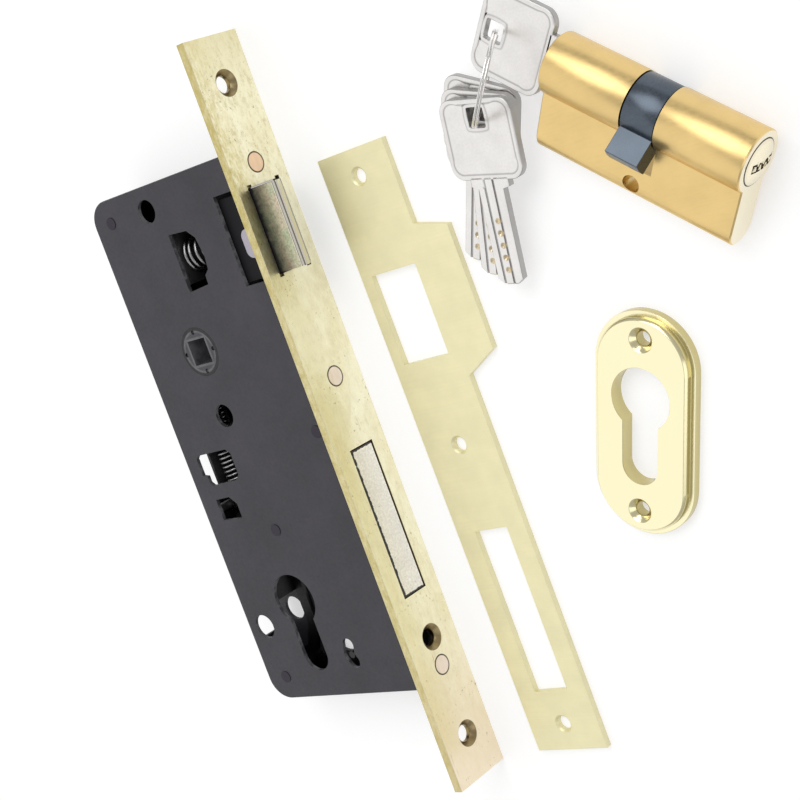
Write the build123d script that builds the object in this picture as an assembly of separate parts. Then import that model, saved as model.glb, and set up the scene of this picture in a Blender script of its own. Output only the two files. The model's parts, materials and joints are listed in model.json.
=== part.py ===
from build123d import *
import math
import os

# Mortise lock set for a framed door: lock case with a spring latch and a two-throw deadbolt, a double
# euro-profile cylinder with its keys, a strike plate and an escutcheon, laid out on a flat surface.
# Millimetres. +X leaves the forend's front face, +Y is up the door, +Z is up from the surface that the
# set lies on. The origin is the middle of the forend's two screw holes, on the forend's front face.

# ---------------------------------------------------------------- driving dimensions
# Forend
forend_length = 240.0
forend_width = 22.0
forend_thick = 3.0
forend_screw_margin = 14.5
wood_screw_r = 2.6
wood_screw_head_r = 4.2
forend_rivet_r = 3.2
rivet_shank_r = 2.0
rivet_head_thick = 1.2

# Case
case_behind_axis = 26.6
case_thick = 16.0
case_top = 86.2
case_bottom = -87.0
case_corner_r = 7.5
case_edge_r = 0.9
sheet = 1.2
back_gap_heights = (16.0, 12.0)
back_gap_drops = (38.0, 92.0)
sight_hole_r = 4.1
sight_hole_place = (7.9, 93.0)
latch_side_window = (14.3, 28.3)
latch_side_window_rise = 0.25

# Forend rivets, posts and windows: heights from the follower, posts' depths from the case's back or front
forend_rivet_rises = (49.1, -18.7, -114.1)
upper_post = (8.5, 46.7)
front_post = (4.8, -32.6)
lower_post = (8.8, -111.1)
guide_post_place = (3.6, -61.1)
spring_window = ((-0.4, 37.4), (8.0, 36.9), (10.8, 34.2), (11.9, 28.0), (11.3, 23.8), (9.2, 22.3),
                 (9.0, 19.4), (-0.4, 18.6))
bracket_window = ((-7.3, -33.6), (-6.1, -32.5), (7.7, -32.2), (9.5, -33.8), (9.5, -41.0), (7.7, -42.8),
                  (-4.1, -43.2), (-5.3, -42.0), (-5.3, -39.8), (-7.3, -39.4))
detent_window = ((1.8, -48.0), (8.4, -47.8), (11.0, -50.4), (11.0, -55.4), (1.8, -55.2))
lever_window = ((0.5, 3.6), (-0.5, 0.3), (0.7, -2.1))
lever_window_half_width = 2.2

# Lock layout, measured from the follower
backset = 45.0
follower_y = 32.0
cylinder_pitch = 85.0
latch_rise = 29.2
bolt_drop = 65.5
fixing_hole_r = 3.8
upper_fixing_rise = 46.4
lower_fixing_drop = 21.6

# Follower
follower_hub_r = 8.0
follower_square = 8.1
follower_flange_r = 9.2
follower_arm_length = 17.0
follower_arm_half_width = 1.6
follower_arm_end_r = 2.6
follower_arm_half_thick = 3.0
follower_heel_length = 13.6
follower_heel_end_r = 2.2
follower_heel_angle = 168.0
pip_r = 0.7
pip_depth = 0.5

# Latch
latch_height = 26.0
latch_thick = 12.6
latch_projection = 11.0
latch_body_length = 15.0
latch_tip_thick = 2.0
latch_travel = 11.0
latch_window_gap = 0.35
latch_shank_r = 3.0
latch_rivet_r = 2.0
latch_pad_length = 9.0
latch_pad_width = 5.0
latch_pad_place = (-8.1, -2.0)
latch_pad_depth = 1.2
latch_tail_thick = 3.0
latch_tail_half_width = 2.6
latch_stud_r = 1.5
latch_stud_rise = 18.0
spring_plate_thick = 1.5
spring_plate_height = (-8.4, 10.5)
spring_plate_ahead = 6.0
latch_spring_big_r = 5.8
latch_spring_small_r = 4.2
latch_spring_wire = 1.1
latch_spring_turns = 8

# Deadbolt
bolt_height = 48.0
bolt_thick = 9.5
bolt_head_length = 27.0
bolt_throw = 20.0
bolt_window_gap = 0.35
bolt_tail_thick = 3.0
bolt_tail_back_gap = 6.6
bolt_tail_rise = 9.9
bolt_tail_drop = 8.0
bolt_socket_depth = 7.0
bolt_pin_r = 1.5
talon_width = 6.0
talon_depth = 4.0
talon_pitch = 10.0
notch_depth = 0.9
notch_half_width = 1.2
nose_ahead = 2.0

# Posts, screws and small parts of the case
post_r = 2.5
post_stake_r = 2.0
post_stake_proud = 0.2
cover_screw_r = 1.3
cover_screw_head_r = 2.4
cover_screw_length = 4.5
cover_screw_head_thick = 0.8
lever_thick = 1.5
lever_half_width = 2.0
lever_eye_half_width = 3.3
lever_guide_r = 1.2
lever_slot_length = 6.6
lever_knee = (2.2, 4.5)
lever_bends = (22.0, 62.0)
lever_beside_cylinder = (2.0, 14.0)
lever_foot_drops = (2.9, 1.6)
lever_foot_reach = 31.8
lever_guide_place = (33.7, 5.6)
lever_push_width = 2.2
lever_push_reach = (-1.0, 7.0)
lever_push_high = 3.5
follower_spring_r = 3.7
follower_spring_wire = 1.0
follower_spring_turns = 15
spring_side_gap = 0.4
spring_bracket_drop = 45.5
bracket_thick = 1.6
bracket_side_thick = 1.0
bracket_height = 26.0
bracket_half_width = 4.5
detent_wire_r = 0.45
detent_coil_r = 2.1
detent_post_r = 1.4
detent_back_gap = 6.0

# Strike plate
strike_width = 27.0
strike_thick = 2.0
strike_top_margin = 37.0
strike_bottom_margin = 19.5
strike_latch_hole = (18.0, 28.0)
strike_bolt_hole = (12.6, 53.0)
strike_lip_reach = 12.0
strike_lip_slopes = (3.0, 6.0)
strike_screw_margins = (8.2, 8.5)
strike_screw_r = 2.2
strike_screw_head_r = 2.9
strike_lip_above = 25.0
strike_lip_below = 15.5
strike_place = (29.5, -5.0)
strike_turn = 0.8

# Escutcheon
escutcheon_length = 65.0
escutcheon_width = 31.0
escutcheon_thick = 5.0
escutcheon_step = 1.5
escutcheon_foot_thick = 2.6
escutcheon_screw_spacing = 50.0
escutcheon_screw_r = 2.1
escutcheon_head_r = 3.6
escutcheon_place = (97.0, -20.5)
escutcheon_turn = -22.0

# Euro-profile cylinder
barrel_r = 8.5
keel_half = 5.0
keel_drop = 19.5
cylinder_length = 60.0
profile_gap = 0.25
profile_chamfer = 0.4
fixing_thread_drop = 19.75
fixing_thread_r = 2.5
plug_r = 6.47
plug_gap = 0.04
plug_neck_r = 4.4
dome_height = 1.4
cam_width = 9.6
cam_slot = 10.2
cam_ring_r = 8.3
cam_reach = 15.2
cam_lever_width = 6.0
cam_turn = 145.0
circlip_thick = 0.9
circlip_r = 5.9
pin_r = 1.4
pin_count = 5
first_pin = 4.6
last_pin = 3.5
shear_gap = 0.05
cylinder_turn = -40.0
key_hole_place = (97.5, 91.0)

# Keys and ring
key_thick = 2.2
key_bow_width = 24.0
key_bow_length = 22.4
key_hole_edge = 5.2
key_hole_side = 5.5
key_blade_width = 8.4
key_tip_gap = 3.0
key_tip_cut = (2.2, 1.6)
key_neck_length = 2.8
key_groove_offsets = (-1.9, 1.1)
key_groove_width = 0.8
key_groove_depth = 0.35
keyway_ridge_width = 0.5
keyway_ridge_depth = 0.2
key_gap = 0.1
keyway_gap = 0.15
ring_r = 12.5
ring_wire_r = 0.75
ring_wire_thick = 1.1
ring_groove = 0.25
ring_turn = -38.0
ring_lean = 30.0
key_lift = 3.3
key_turn = -19.0
key_fan = (-9.0, -1.0, 7.0)

# Running clearances
slide_gap = 0.1
turn_gap = 0.05
seat_gap = 0.02

# ---------------------------------------------------------------- derived places
case_front = -forend_thick
case_back = -backset - case_behind_axis
case_depth = case_front - case_back
case_mid_x = (case_front + case_back) / 2
case_mid_y = (case_top + case_bottom) / 2
case_height = case_top - case_bottom
inner_z = case_thick / 2 - sheet
outer_z = case_thick / 2
forend_screw_spacing = forend_length - 2 * forend_screw_margin
surface_z = -forend_width / 2
axis_x = -backset
cylinder_y = follower_y - cylinder_pitch
latch_y = follower_y + latch_rise
bolt_y = follower_y - bolt_drop
fixing_screw_y = cylinder_y - fixing_thread_drop
forend_rivet_ys = [follower_y + rise for rise in forend_rivet_rises]
guide_post = (axis_x + guide_post_place[0], follower_y + guide_post_place[1])
lever_pivot = (case_back + lower_post[0], follower_y + lower_post[1])
post_places = ((case_back + upper_post[0], follower_y + upper_post[1]),
               (case_front - front_post[0], follower_y + front_post[1]), guide_post, lever_pivot)
lever_guide = (lever_pivot[0] + lever_guide_place[0], lever_pivot[1] + lever_guide_place[1])
spring_plate_x = axis_x + spring_plate_ahead
spring_x = axis_x - follower_flange_r - follower_spring_r - spring_side_gap
bolt_tail_end = case_back + bolt_tail_back_gap
bolt_tail_top = bolt_y + bolt_tail_rise
bolt_tail_bottom = bolt_y - bolt_tail_drop
nose_x = axis_x + nose_ahead
detent_post = (case_back + detent_back_gap, bolt_tail_top + detent_coil_r + 2.4 * detent_wire_r + 0.9)
half_length = cylinder_length / 2
slot_half = cam_slot / 2
pin_pitch = (half_length - first_pin - slot_half - last_pin) / (pin_count - 1)
key_blade_length = half_length - key_tip_gap

# ---------------------------------------------------------------- helpers


def plate(outline, low, high):
    """A flat solid from an outline in XY between two heights."""
    return extrude(Pos(0, 0, low) * outline, high - low, dir=(0, 0, 1))


def rod(x, y, radius, low, high):
    """A round bar along Z."""
    return Pos(x, y, (low + high) / 2) * Cylinder(radius, high - low)


def octagon(radius):
    """An eight-sided outline whose flats lie at a radius, for small round pieces that repeat."""
    return RegularPolygon(radius, 8, major_radius=False)


def rod_x(y, z, radius, low, high):
    """A round bar along X."""
    return Pos((low + high) / 2, y, z) * Rot(0, 90, 0) * Cylinder(radius, high - low)


def block(x, y, z):
    """A box from three (low, high) pairs."""
    return Pos(sum(x) / 2, sum(y) / 2, sum(z) / 2) * Box(x[1] - x[0], y[1] - y[0], z[1] - z[0])


def slot_y(x, y, length, width):
    """An obround outline with its long side along Y."""
    return Pos(x, y) * Rot(0, 0, 90) * SlotOverall(length, width)


def band(points, half_width):
    """A bar outline of even width along straight runs, with round ends and joints."""
    outline = Pos(*points[0]) * Circle(half_width)
    for (x0, y0), (x1, y1) in zip(points, points[1:]):
        length = math.hypot(x1 - x0, y1 - y0)
        turn = math.degrees(math.atan2(y1 - y0, x1 - x0))
        outline += Pos((x0 + x1) / 2, (y0 + y1) / 2) * Rot(0, 0, turn) * Rectangle(length, 2 * half_width)
        outline += Pos(x1, y1) * Circle(half_width)
    return outline


def wire_run(points, wire):
    """Bent wire of square section along straight runs, mitred at the bends."""
    path = Polyline(*points)
    section = Plane(origin=path @ 0, z_dir=path % 0) * Rectangle(wire, wire)
    return sweep(section, path=path, transition=Transition.RIGHT)


def coil_points(start_r, end_r, length, turns, sides=9):
    """Points round a helix along +Z from the origin, with its radius changing evenly."""
    steps = turns * sides
    points = []
    for step in range(steps + 1):
        share = step / steps
        radius = (start_r + (end_r - start_r) * share) / math.cos(math.pi / sides)
        angle = 2 * math.pi * step / sides
        points.append((radius * math.cos(angle), radius * math.sin(angle), length * share))
    return points


def euro_outline(grow=0.0):
    """The euro profile, grown all round: a round barrel with a narrower keel below it."""
    keel = Pos(0, -keel_drop / 2) * Rectangle(2 * (keel_half + grow), keel_drop)
    return Circle(barrel_r + grow) + keel + Pos(0, -keel_drop) * Circle(keel_half + grow)


def countersink_x(y, top_x, hole_r, head_r, thick):
    """A screw hole along X with a 90-degree countersink at its +X face."""
    cone = Pos(top_x - (head_r - hole_r) / 2, y, 0) * Rot(0, 90, 0) * Cone(hole_r, head_r, head_r - hole_r)
    return cone + rod_x(y, 0, hole_r, top_x - thick - 1, top_x + 0.01)


def countersink_z(x, y, top_z, hole_r, head_r, thick):
    """A screw hole along Z with a 90-degree countersink at its +Z face."""
    cone = Pos(x, y, top_z - (head_r - hole_r) / 2) * Cone(hole_r, head_r, head_r - hole_r)
    return cone + rod(x, y, hole_r, top_z - thick - 1, top_z + 0.01)


# ---------------------------------------------------------------- lock case
def latch_opening(low, high):
    """The latch's window through the forend, with relieved corners."""
    half_y = latch_height / 2 + latch_window_gap
    half_z = latch_thick / 2 + latch_window_gap
    hole = block((low, high), (latch_y - half_y, latch_y + half_y), (-half_z, half_z))
    for side_y in (-1, 1):
        for side_z in (-1, 1):
            hole += Pos(0, latch_y + side_y * half_y, side_z * (half_z - 0.6)) * block(
                (low, high), (-0.8, 0.8), (-0.8, 0.8))
    return hole


def bolt_opening(low, high):
    """The deadbolt's window through the forend and the case front."""
    half_y = bolt_height / 2 + bolt_window_gap
    half_z = bolt_thick / 2 + bolt_window_gap
    return block((low, high), (bolt_y - half_y, bolt_y + half_y), (-half_z, half_z))


def case_outline(inset=0.0):
    """The broad side: square at the forend, rounded at the two back corners."""
    width = case_depth - 2 * inset
    outline = Pos(case_mid_x, case_mid_y) * Rectangle(width, case_height - 2 * inset)
    back_corners = outline.vertices().sort_by(Axis.X)[:2]
    return fillet(back_corners, max(case_corner_r - inset, 0.5))


def through_holes():
    """The holes that go through both broad sides."""
    holes = Pos(axis_x, follower_y) * Circle(follower_hub_r + turn_gap)
    holes += Pos(axis_x, cylinder_y) * euro_outline(profile_gap)
    holes += Pos(axis_x, follower_y + upper_fixing_rise) * Circle(fixing_hole_r)
    holes += Pos(axis_x, follower_y - lower_fixing_drop) * Circle(fixing_hole_r)
    holes += Pos(case_back + sight_hole_place[0], follower_y - sight_hole_place[1]) * Circle(sight_hole_r)
    depth, height = latch_side_window
    holes += Pos((case_front - depth) / 2, latch_y + latch_side_window_rise) * Rectangle(
        depth + case_front, height)
    return holes


def mechanism_windows():
    """The windows in one broad side that show the springs and the lever's stud."""
    windows = Pos(spring_plate_x, follower_y) * Polygon(*spring_window, align=None)
    windows += Pos(spring_x, follower_y) * Polygon(*bracket_window, align=None)
    windows += Pos(detent_post[0], follower_y) * Polygon(*detent_window, align=None)
    curve = [(lever_guide[0] + x, lever_guide[1] + y) for x, y in lever_window]
    return windows + band(curve, lever_window_half_width)


def make_case_pan():
    """Broad side, four walls and the openings of the drawn steel pan."""
    shell = plate(case_outline(), -inner_z, outer_z)
    rim = shell.edges().group_by(Axis.Z)[-1].sort_by(Axis.X)[:-1]
    shell = fillet(rim, case_edge_r) - plate(case_outline(sheet), -inner_z - 1, inner_z)
    shell -= plate(through_holes() + mechanism_windows(), inner_z - 1, outer_z + 1)
    for x, y in post_places:
        shell -= rod(x, y, post_stake_r, inner_z - 1, outer_z + 1)
    half_y = latch_height / 2 + latch_window_gap
    front = (case_front - sheet - 1, case_front + 1)
    shell -= block(front, (latch_y - half_y, latch_y + half_y), (-outer_z, outer_z))
    shell -= bolt_opening(case_front - sheet - 1, case_front + 1)
    shell -= rod_x(fixing_screw_y, 0, wood_screw_r + 0.4, case_front - sheet - 1, case_front + 1)
    for y in forend_rivet_ys:
        shell -= rod_x(y, 0, rivet_shank_r, case_front - sheet - 1, case_front + 1)
    for drop, height in zip(back_gap_drops, back_gap_heights):
        low = follower_y - drop - height / 2
        shell -= block((case_back - 1, case_back + sheet + 1), (low, low + height), (-outer_z, inner_z))
    return shell


def make_cover_plate():
    """The flat plate that closes the pan."""
    cover = plate(case_outline() - through_holes(), -outer_z, -inner_z)
    for x, y in post_places:
        cover -= rod(x, y, cover_screw_r, -outer_z - 1, -inner_z + 1)
    return cover


def make_forend():
    """The brass face strip with its windows, screw holes and rivet holes."""
    end, side = forend_length / 2, forend_width / 2
    strip = block((-forend_thick, 0), (-end, end), (-side, side))
    strip -= latch_opening(-forend_thick - 1, 1) + bolt_opening(-forend_thick - 1, 1)
    for y in (forend_screw_spacing / 2, -forend_screw_spacing / 2, fixing_screw_y):
        strip -= countersink_x(y, 0, wood_screw_r, wood_screw_head_r, forend_thick)
    for y in forend_rivet_ys:
        strip -= rod_x(y, 0, forend_rivet_r, -forend_thick - 1, 1)
    return strip


def make_forend_rivets():
    """Three rivets: flush in the forend, closed over inside the case front."""
    rivets = []
    for y in forend_rivet_ys:
        closed = case_front - sheet - rivet_head_thick
        rivet = rod_x(y, 0, forend_rivet_r, case_front, 0) + rod_x(y, 0, rivet_shank_r, closed, case_front)
        rivets.append(rivet + rod_x(y, 0, rivet_shank_r + 0.7, closed, case_front - sheet))
    return Compound(children=rivets)


def make_case_posts():
    """Four spacing posts, staked into the pan and tapped for the cover screws."""
    posts = []
    for x, y in post_places:
        post = rod(x, y, post_r, -inner_z, inner_z)
        post += rod(x, y, post_stake_r, inner_z, outer_z + post_stake_proud)
        posts.append(post - rod(x, y, cover_screw_r, -inner_z - 1, -inner_z + cover_screw_length + 0.5))
    return Compound(children=posts)


def make_cover_screws():
    """Four pan-head screws that hold the cover to the posts."""
    screws = []
    for x, y in post_places:
        head_low = -outer_z - cover_screw_head_thick
        screw = rod(x, y, cover_screw_r, -outer_z, -inner_z + cover_screw_length)
        screw += rod(x, y, cover_screw_head_r, head_low, -outer_z)
        ends = (x - cover_screw_head_r, x + cover_screw_head_r)
        screws.append(screw - block(ends, (y - 0.3, y + 0.3), (head_low - 1, head_low + 0.4)))
    return Compound(children=screws)


# ---------------------------------------------------------------- latch
latch_low = latch_y - latch_height / 2
arm_rest = math.degrees(math.asin(latch_travel / 2 / follower_arm_length))
arm_tip = (axis_x + follower_arm_length * math.sin(math.radians(arm_rest)),
           follower_y + follower_arm_length * math.cos(math.radians(arm_rest)))
tail_front = arm_tip[0] - follower_arm_end_r - 0.2
tail_back = tail_front - latch_tail_thick
stud_place = ((tail_front + tail_back) / 2, follower_y + latch_stud_rise)


def pad_outline(grow=0.0):
    """The obround pad let into each broad side of the latch."""
    x, rise = latch_pad_place
    return slot_y(x, latch_y + rise, latch_pad_length + 2 * grow, latch_pad_width + 2 * grow)


def make_latch_bolt():
    """The latch: a block with one bevelled side, on a round shank."""
    half = latch_thick / 2
    tip = latch_projection
    profile = Polyline((-latch_body_length, half), (tip - 1.2, half), (tip, half - 1.0),
                       (tip, half - latch_tip_thick), (tip - 0.9, half - latch_tip_thick - 0.9),
                       (0.9, -half), (-latch_body_length, -half), close=True)
    section = Plane.XZ.offset(-latch_low) * make_face(profile)
    head = extrude(section, latch_height, dir=(0, 1, 0))
    for side in (1, -1):
        head -= plate(pad_outline(), side * half - latch_pad_depth, side * half + latch_pad_depth)
    shank = rod_x(latch_y, 0, latch_shank_r, tail_front, -latch_body_length)
    return head + shank + rod_x(latch_y, 0, latch_rivet_r, tail_back - 0.8, tail_front)


def make_latch_pads():
    """Nylon pads, flush in the latch's broad sides."""
    half = latch_thick / 2
    pads = [plate(pad_outline(-seat_gap), half - latch_pad_depth, half),
            plate(pad_outline(-seat_gap), -half, -half + latch_pad_depth)]
    return Compound(children=pads)


def make_latch_tail():
    """The cross plate on the shank's end that the follower and the key lever pull."""
    low = arm_tip[1] - 1.7
    half = latch_tail_half_width
    tail = block((tail_back, tail_front), (low, latch_y + 5.5), (-half, half))
    tail -= rod_x(latch_y, 0, latch_rivet_r, tail_back - 1, tail_front + 1)
    stud_low = -inner_z + slide_gap
    return tail + rod(*stud_place, latch_stud_r, stud_low, 0)


def make_spring_plate():
    """The upright that the latch spring pushes against, between the broad sides."""
    back = spring_plate_x - spring_plate_thick
    low, high = spring_plate_height
    upright = block((back, spring_plate_x), (latch_y + low, latch_y + high), (-inner_z, inner_z))
    return upright - rod_x(latch_y, 0, latch_shank_r + slide_gap, back - 1, spring_plate_x + 1)


def make_latch_spring():
    """Cone-shaped spring on the latch shank, wide at the spring plate."""
    seat = spring_plate_x + latch_spring_wire
    length = -latch_body_length - latch_spring_wire - seat
    winding = coil_points(latch_spring_big_r, latch_spring_small_r, length, latch_spring_turns)
    return Pos(seat, latch_y, 0) * Rot(0, 90, 0) * wire_run(winding, latch_spring_wire)


# ---------------------------------------------------------------- follower and key lever
heel_tip = (axis_x + follower_heel_length * math.cos(math.radians(follower_heel_angle)),
            follower_y + follower_heel_length * math.sin(math.radians(follower_heel_angle)))


def make_follower():
    """The spindle hub with its latch arm and spring heel, borne in both broad sides."""
    centre = (axis_x, follower_y)
    shape = Pos(*centre) * Circle(follower_flange_r)
    shape += band([centre, arm_tip], follower_arm_half_width) + Pos(*arm_tip) * Circle(follower_arm_end_r)
    shape += band([centre, heel_tip], follower_heel_end_r)
    hub = plate(shape, -follower_arm_half_thick, follower_arm_half_thick)
    hub += rod(*centre, follower_hub_r, -outer_z, outer_z)
    hub -= plate(Pos(*centre) * Rectangle(follower_square, follower_square), -outer_z - 1, outer_z + 1)
    for turn in range(4):
        angle = math.radians(90 * turn)
        x = axis_x + 6.4 * math.cos(angle)
        y = follower_y + 6.4 * math.sin(angle)
        hub -= plate(Pos(x, y) * octagon(pip_r), outer_z - pip_depth, outer_z + 1)
    return hub


spring_foot_y = follower_y - spring_bracket_drop
heel_slope = math.radians(180 - follower_heel_angle)
heel_under = (follower_y + (follower_flange_r + spring_side_gap) * math.tan(heel_slope)
              - follower_heel_end_r / math.cos(heel_slope))


def make_follower_spring():
    """The long spring under the follower's heel."""
    low = spring_foot_y + follower_spring_wire
    length = heel_under - slide_gap - follower_spring_wire - low
    mean_r = follower_spring_r - follower_spring_wire / 2 - spring_side_gap / 2
    winding = coil_points(mean_r, mean_r, length, follower_spring_turns)
    return Pos(spring_x, low, 0.5) * Rot(-90, 0, 0) * wire_run(winding, follower_spring_wire)


def make_spring_bracket():
    """The folded bracket that carries the follower spring."""
    left = spring_x - follower_spring_r - 1.2
    low, half = spring_foot_y - bracket_thick, bracket_half_width
    foot = block((left, spring_x + follower_spring_r), (low, spring_foot_y), (-half, inner_z))
    side = (left - bracket_side_thick, left)
    return foot + block(side, (low, spring_foot_y + bracket_height), (-half, half))


lever_low = -inner_z + slide_gap
lever_high = lever_low + lever_thick


def make_latch_lever():
    """The key lever: pivots at the bottom, guided in the kidney slot, and pulls the latch tail."""
    x, y = lever_pivot
    knee = (axis_x - follower_flange_r - lever_knee[0], follower_y + lever_knee[1])
    eye_place = (stud_place[0], stud_place[1] - 0.6)
    beside_barrel = axis_x - barrel_r - profile_gap - lever_half_width - 0.5
    high_bend, low_bend = lever_bends
    near, far = lever_beside_cylinder
    route = [lever_pivot, (beside_barrel, cylinder_y - far), (beside_barrel, cylinder_y - near),
             (knee[0], follower_y - low_bend), (knee[0], follower_y - high_bend), knee, eye_place]
    outline = band(route, lever_half_width)
    outline += slot_y(*eye_place, lever_slot_length + 3.4, 2 * lever_eye_half_width)
    first_drop, second_drop = lever_foot_drops
    foot = [lever_pivot, (axis_x, y - first_drop), (x + lever_foot_reach, y - second_drop), lever_guide]
    outline += band(foot, lever_half_width)
    outline += Pos(x, y) * Circle(post_r + 2.4)
    lever = plate(outline, lever_low, lever_high)
    lever -= rod(x, y, post_r + turn_gap, lever_low - 1, lever_high + 1)
    eye = slot_y(*eye_place, lever_slot_length, 2 * latch_stud_r + 0.3)
    lever -= plate(eye, lever_low - 1, lever_high + 1)
    lever += rod(*lever_guide, lever_guide_r, lever_high, outer_z - 0.6)
    push_x = axis_x - cam_reach
    reach = [cylinder_y + rise for rise in lever_push_reach]
    lever += block((push_x, push_x + lever_push_width + 1.0), reach, (lever_low, lever_high))
    return lever + block((push_x, push_x + lever_push_width), reach, (lever_low, lever_push_high))


# ---------------------------------------------------------------- deadbolt
tail_root = -bolt_head_length + bolt_socket_depth
bolt_pin_ys = (bolt_tail_top - 4.5, bolt_tail_bottom + 4.5)


def make_deadbolt_head():
    """The solid bolt, slotted at the back for its tail."""
    high, wide = bolt_height / 2, bolt_thick / 2
    head = block((-bolt_head_length, 0), (bolt_y - high, bolt_y + high), (-wide, wide))
    head = chamfer(head.edges().filter_by(Axis.Y).group_by(Axis.X)[-1], 0.4)
    tail_half = bolt_tail_thick / 2
    root = (-bolt_head_length - 1, tail_root)
    head -= block(root, (bolt_tail_bottom, bolt_tail_top), (-tail_half, tail_half))
    for y in bolt_pin_ys:
        head -= rod(tail_root - bolt_socket_depth / 2, y, bolt_pin_r, -bolt_thick, bolt_thick)
    return head


def make_deadbolt_tail():
    """The flat tail: guide slot, two cam notches below, three detent notches above."""
    half = bolt_tail_thick / 2
    shape = Pos((bolt_tail_end + tail_root) / 2, (bolt_tail_top + bolt_tail_bottom) / 2) * Rectangle(
        tail_root - bolt_tail_end, bolt_tail_top - bolt_tail_bottom)
    slot_width = 2 * (post_r + slide_gap)
    slot_mid = guide_post[0] - bolt_throw / 2
    shape -= Pos(slot_mid, guide_post[1]) * SlotCenterToCenter(bolt_throw, slot_width)
    for step in range(2):
        x = axis_x - talon_pitch / 2 - step * talon_pitch
        shape -= Pos(x, bolt_tail_bottom + talon_depth / 2) * Rectangle(talon_width, talon_depth)
    for step in range(3):
        x = nose_x - step * bolt_throw / 2
        shape -= Polygon((x - notch_half_width, bolt_tail_top), (x, bolt_tail_top - notch_depth),
                         (x + notch_half_width, bolt_tail_top), align=None)
    tail = plate(shape, -half, half)
    for y in bolt_pin_ys:
        tail -= rod(tail_root - bolt_socket_depth / 2, y, bolt_pin_r, -half - 1, half + 1)
    return tail


def make_deadbolt_pins():
    """Two pins through the bolt and its tail."""
    x = tail_root - bolt_socket_depth / 2
    return Compound(children=[rod(x, y, bolt_pin_r, -bolt_thick / 2, bolt_thick / 2) for y in bolt_pin_ys])


def make_detent_post():
    """The small post that carries the detent spring."""
    return rod(*detent_post, detent_post_r, -inner_z, inner_z)


def make_detent_spring():
    """Torsion spring: three turns on its post, a nose in the bolt tail's notch and a hooked leg."""
    x, y = detent_post
    wire = 2 * detent_wire_r
    length = 3.4 * wire
    coil = coil_points(detent_coil_r, detent_coil_r, length, 3)
    winding = [(x + px, y + py, pz - length / 2) for px, py, pz in coil]
    rest_y = bolt_tail_top + detent_wire_r
    nose = [(nose_x + 1.6, rest_y + 0.5, 0), (nose_x, rest_y - notch_depth + 0.25, 0),
            (nose_x - 1.6, rest_y + 0.5, 0), (x + detent_coil_r + 1.6, y - 0.9, -0.4)]
    end_x = x + detent_coil_r
    leg = [(end_x + 0.2, y + 1.6, length / 2 + 0.6), (end_x + 0.9, y + 2.5, length / 2 + 0.9),
           (end_x + 2.6, y + 2.6, length / 2 + 0.9)]
    return wire_run(nose + winding + leg, wire)


# ---------------------------------------------------------------- strike plate and escutcheon
def make_strike_plate():
    """Flat strike with a lip beside the latch hole, flat on the surface."""
    latch_hole_width, latch_hole_height = strike_latch_hole
    bolt_hole_width, bolt_hole_height = strike_bolt_hole
    top = latch_rise + latch_hole_height / 2 + strike_top_margin
    bottom = -bolt_drop - bolt_hole_height / 2 - strike_bottom_margin
    edge = strike_width / 2
    lip = edge + strike_lip_reach
    lip_top = latch_rise + strike_lip_above
    lip_bottom = latch_rise - strike_lip_below
    top_slope, bottom_slope = strike_lip_slopes
    outline = Polygon((-edge, bottom), (edge, bottom), (edge, lip_bottom - bottom_slope), (lip, lip_bottom),
                      (lip, lip_top - top_slope), (edge, lip_top), (edge, top), (-edge, top), align=None)
    outline -= Pos(-0.3, latch_rise) * Rectangle(latch_hole_width, latch_hole_height)
    outline -= Pos(0, -bolt_drop) * Rectangle(bolt_hole_width, bolt_hole_height)
    strike = plate(outline, 0, strike_thick)
    for y in strike_screw_ys():
        strike -= countersink_z(0, y, strike_thick, strike_screw_r, strike_screw_head_r, strike_thick)
    return Pos(*strike_place, surface_z) * Rot(0, 0, strike_turn) * strike


def strike_screw_ys():
    """Screw heights on the strike, from the follower's height."""
    top = latch_rise + strike_latch_hole[1] / 2 + strike_top_margin
    bottom = -bolt_drop - strike_bolt_hole[1] / 2 - strike_bottom_margin
    between = (latch_rise - strike_latch_hole[1] / 2 - bolt_drop + strike_bolt_hole[1] / 2) / 2
    return (top - strike_screw_margins[0], between, bottom + strike_screw_margins[1])


def make_escutcheon():
    """Oval escutcheon with a stepped rim, a euro hole and two countersunk screw holes."""
    def oval(inset):
        return Rot(0, 0, 90) * SlotOverall(escutcheon_length - 2 * inset, escutcheon_width - 2 * inset)

    body = plate(oval(0), 0, escutcheon_foot_thick) + plate(oval(escutcheon_step), 0, escutcheon_thick)
    rim = body.edges().group_by(Axis.Z)[-1]
    body = chamfer(rim, 0.7)
    hole_up = (keel_drop + keel_half - barrel_r) / 2
    body -= plate(Pos(0, hole_up) * euro_outline(0.5), -1, escutcheon_thick + 1)
    for side in (1, -1):
        y = side * escutcheon_screw_spacing / 2
        body -= countersink_z(0, y, escutcheon_thick, escutcheon_screw_r, escutcheon_head_r,
                              escutcheon_thick)
    return Pos(*escutcheon_place, surface_z) * Rot(0, 0, escutcheon_turn) * body


# ---------------------------------------------------------------- euro cylinder, in its own frame
# Own frame: the axis is +X, the keyed rear face is at -X, the keel points to -Y.
key_reach = key_bow_length - key_hole_edge + key_neck_length
keel_tilt = math.degrees(math.asin((barrel_r - keel_half) / keel_drop))
axis_height = surface_z + barrel_r
cylinder_centre = (key_hole_place[0] + (key_reach + half_length) * math.cos(math.radians(cylinder_turn)),
                   key_hole_place[1] + (key_reach + half_length) * math.sin(math.radians(cylinder_turn)))
cylinder_place = Pos(*cylinder_centre, axis_height) * Rot(0, 0, cylinder_turn) * Rot(keel_tilt, 0, 0)
key_place = Pos(*cylinder_centre, axis_height) * Rot(0, 0, cylinder_turn)
pin_xs = [half_length - first_pin - pin_pitch * n for n in range(pin_count)]


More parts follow.
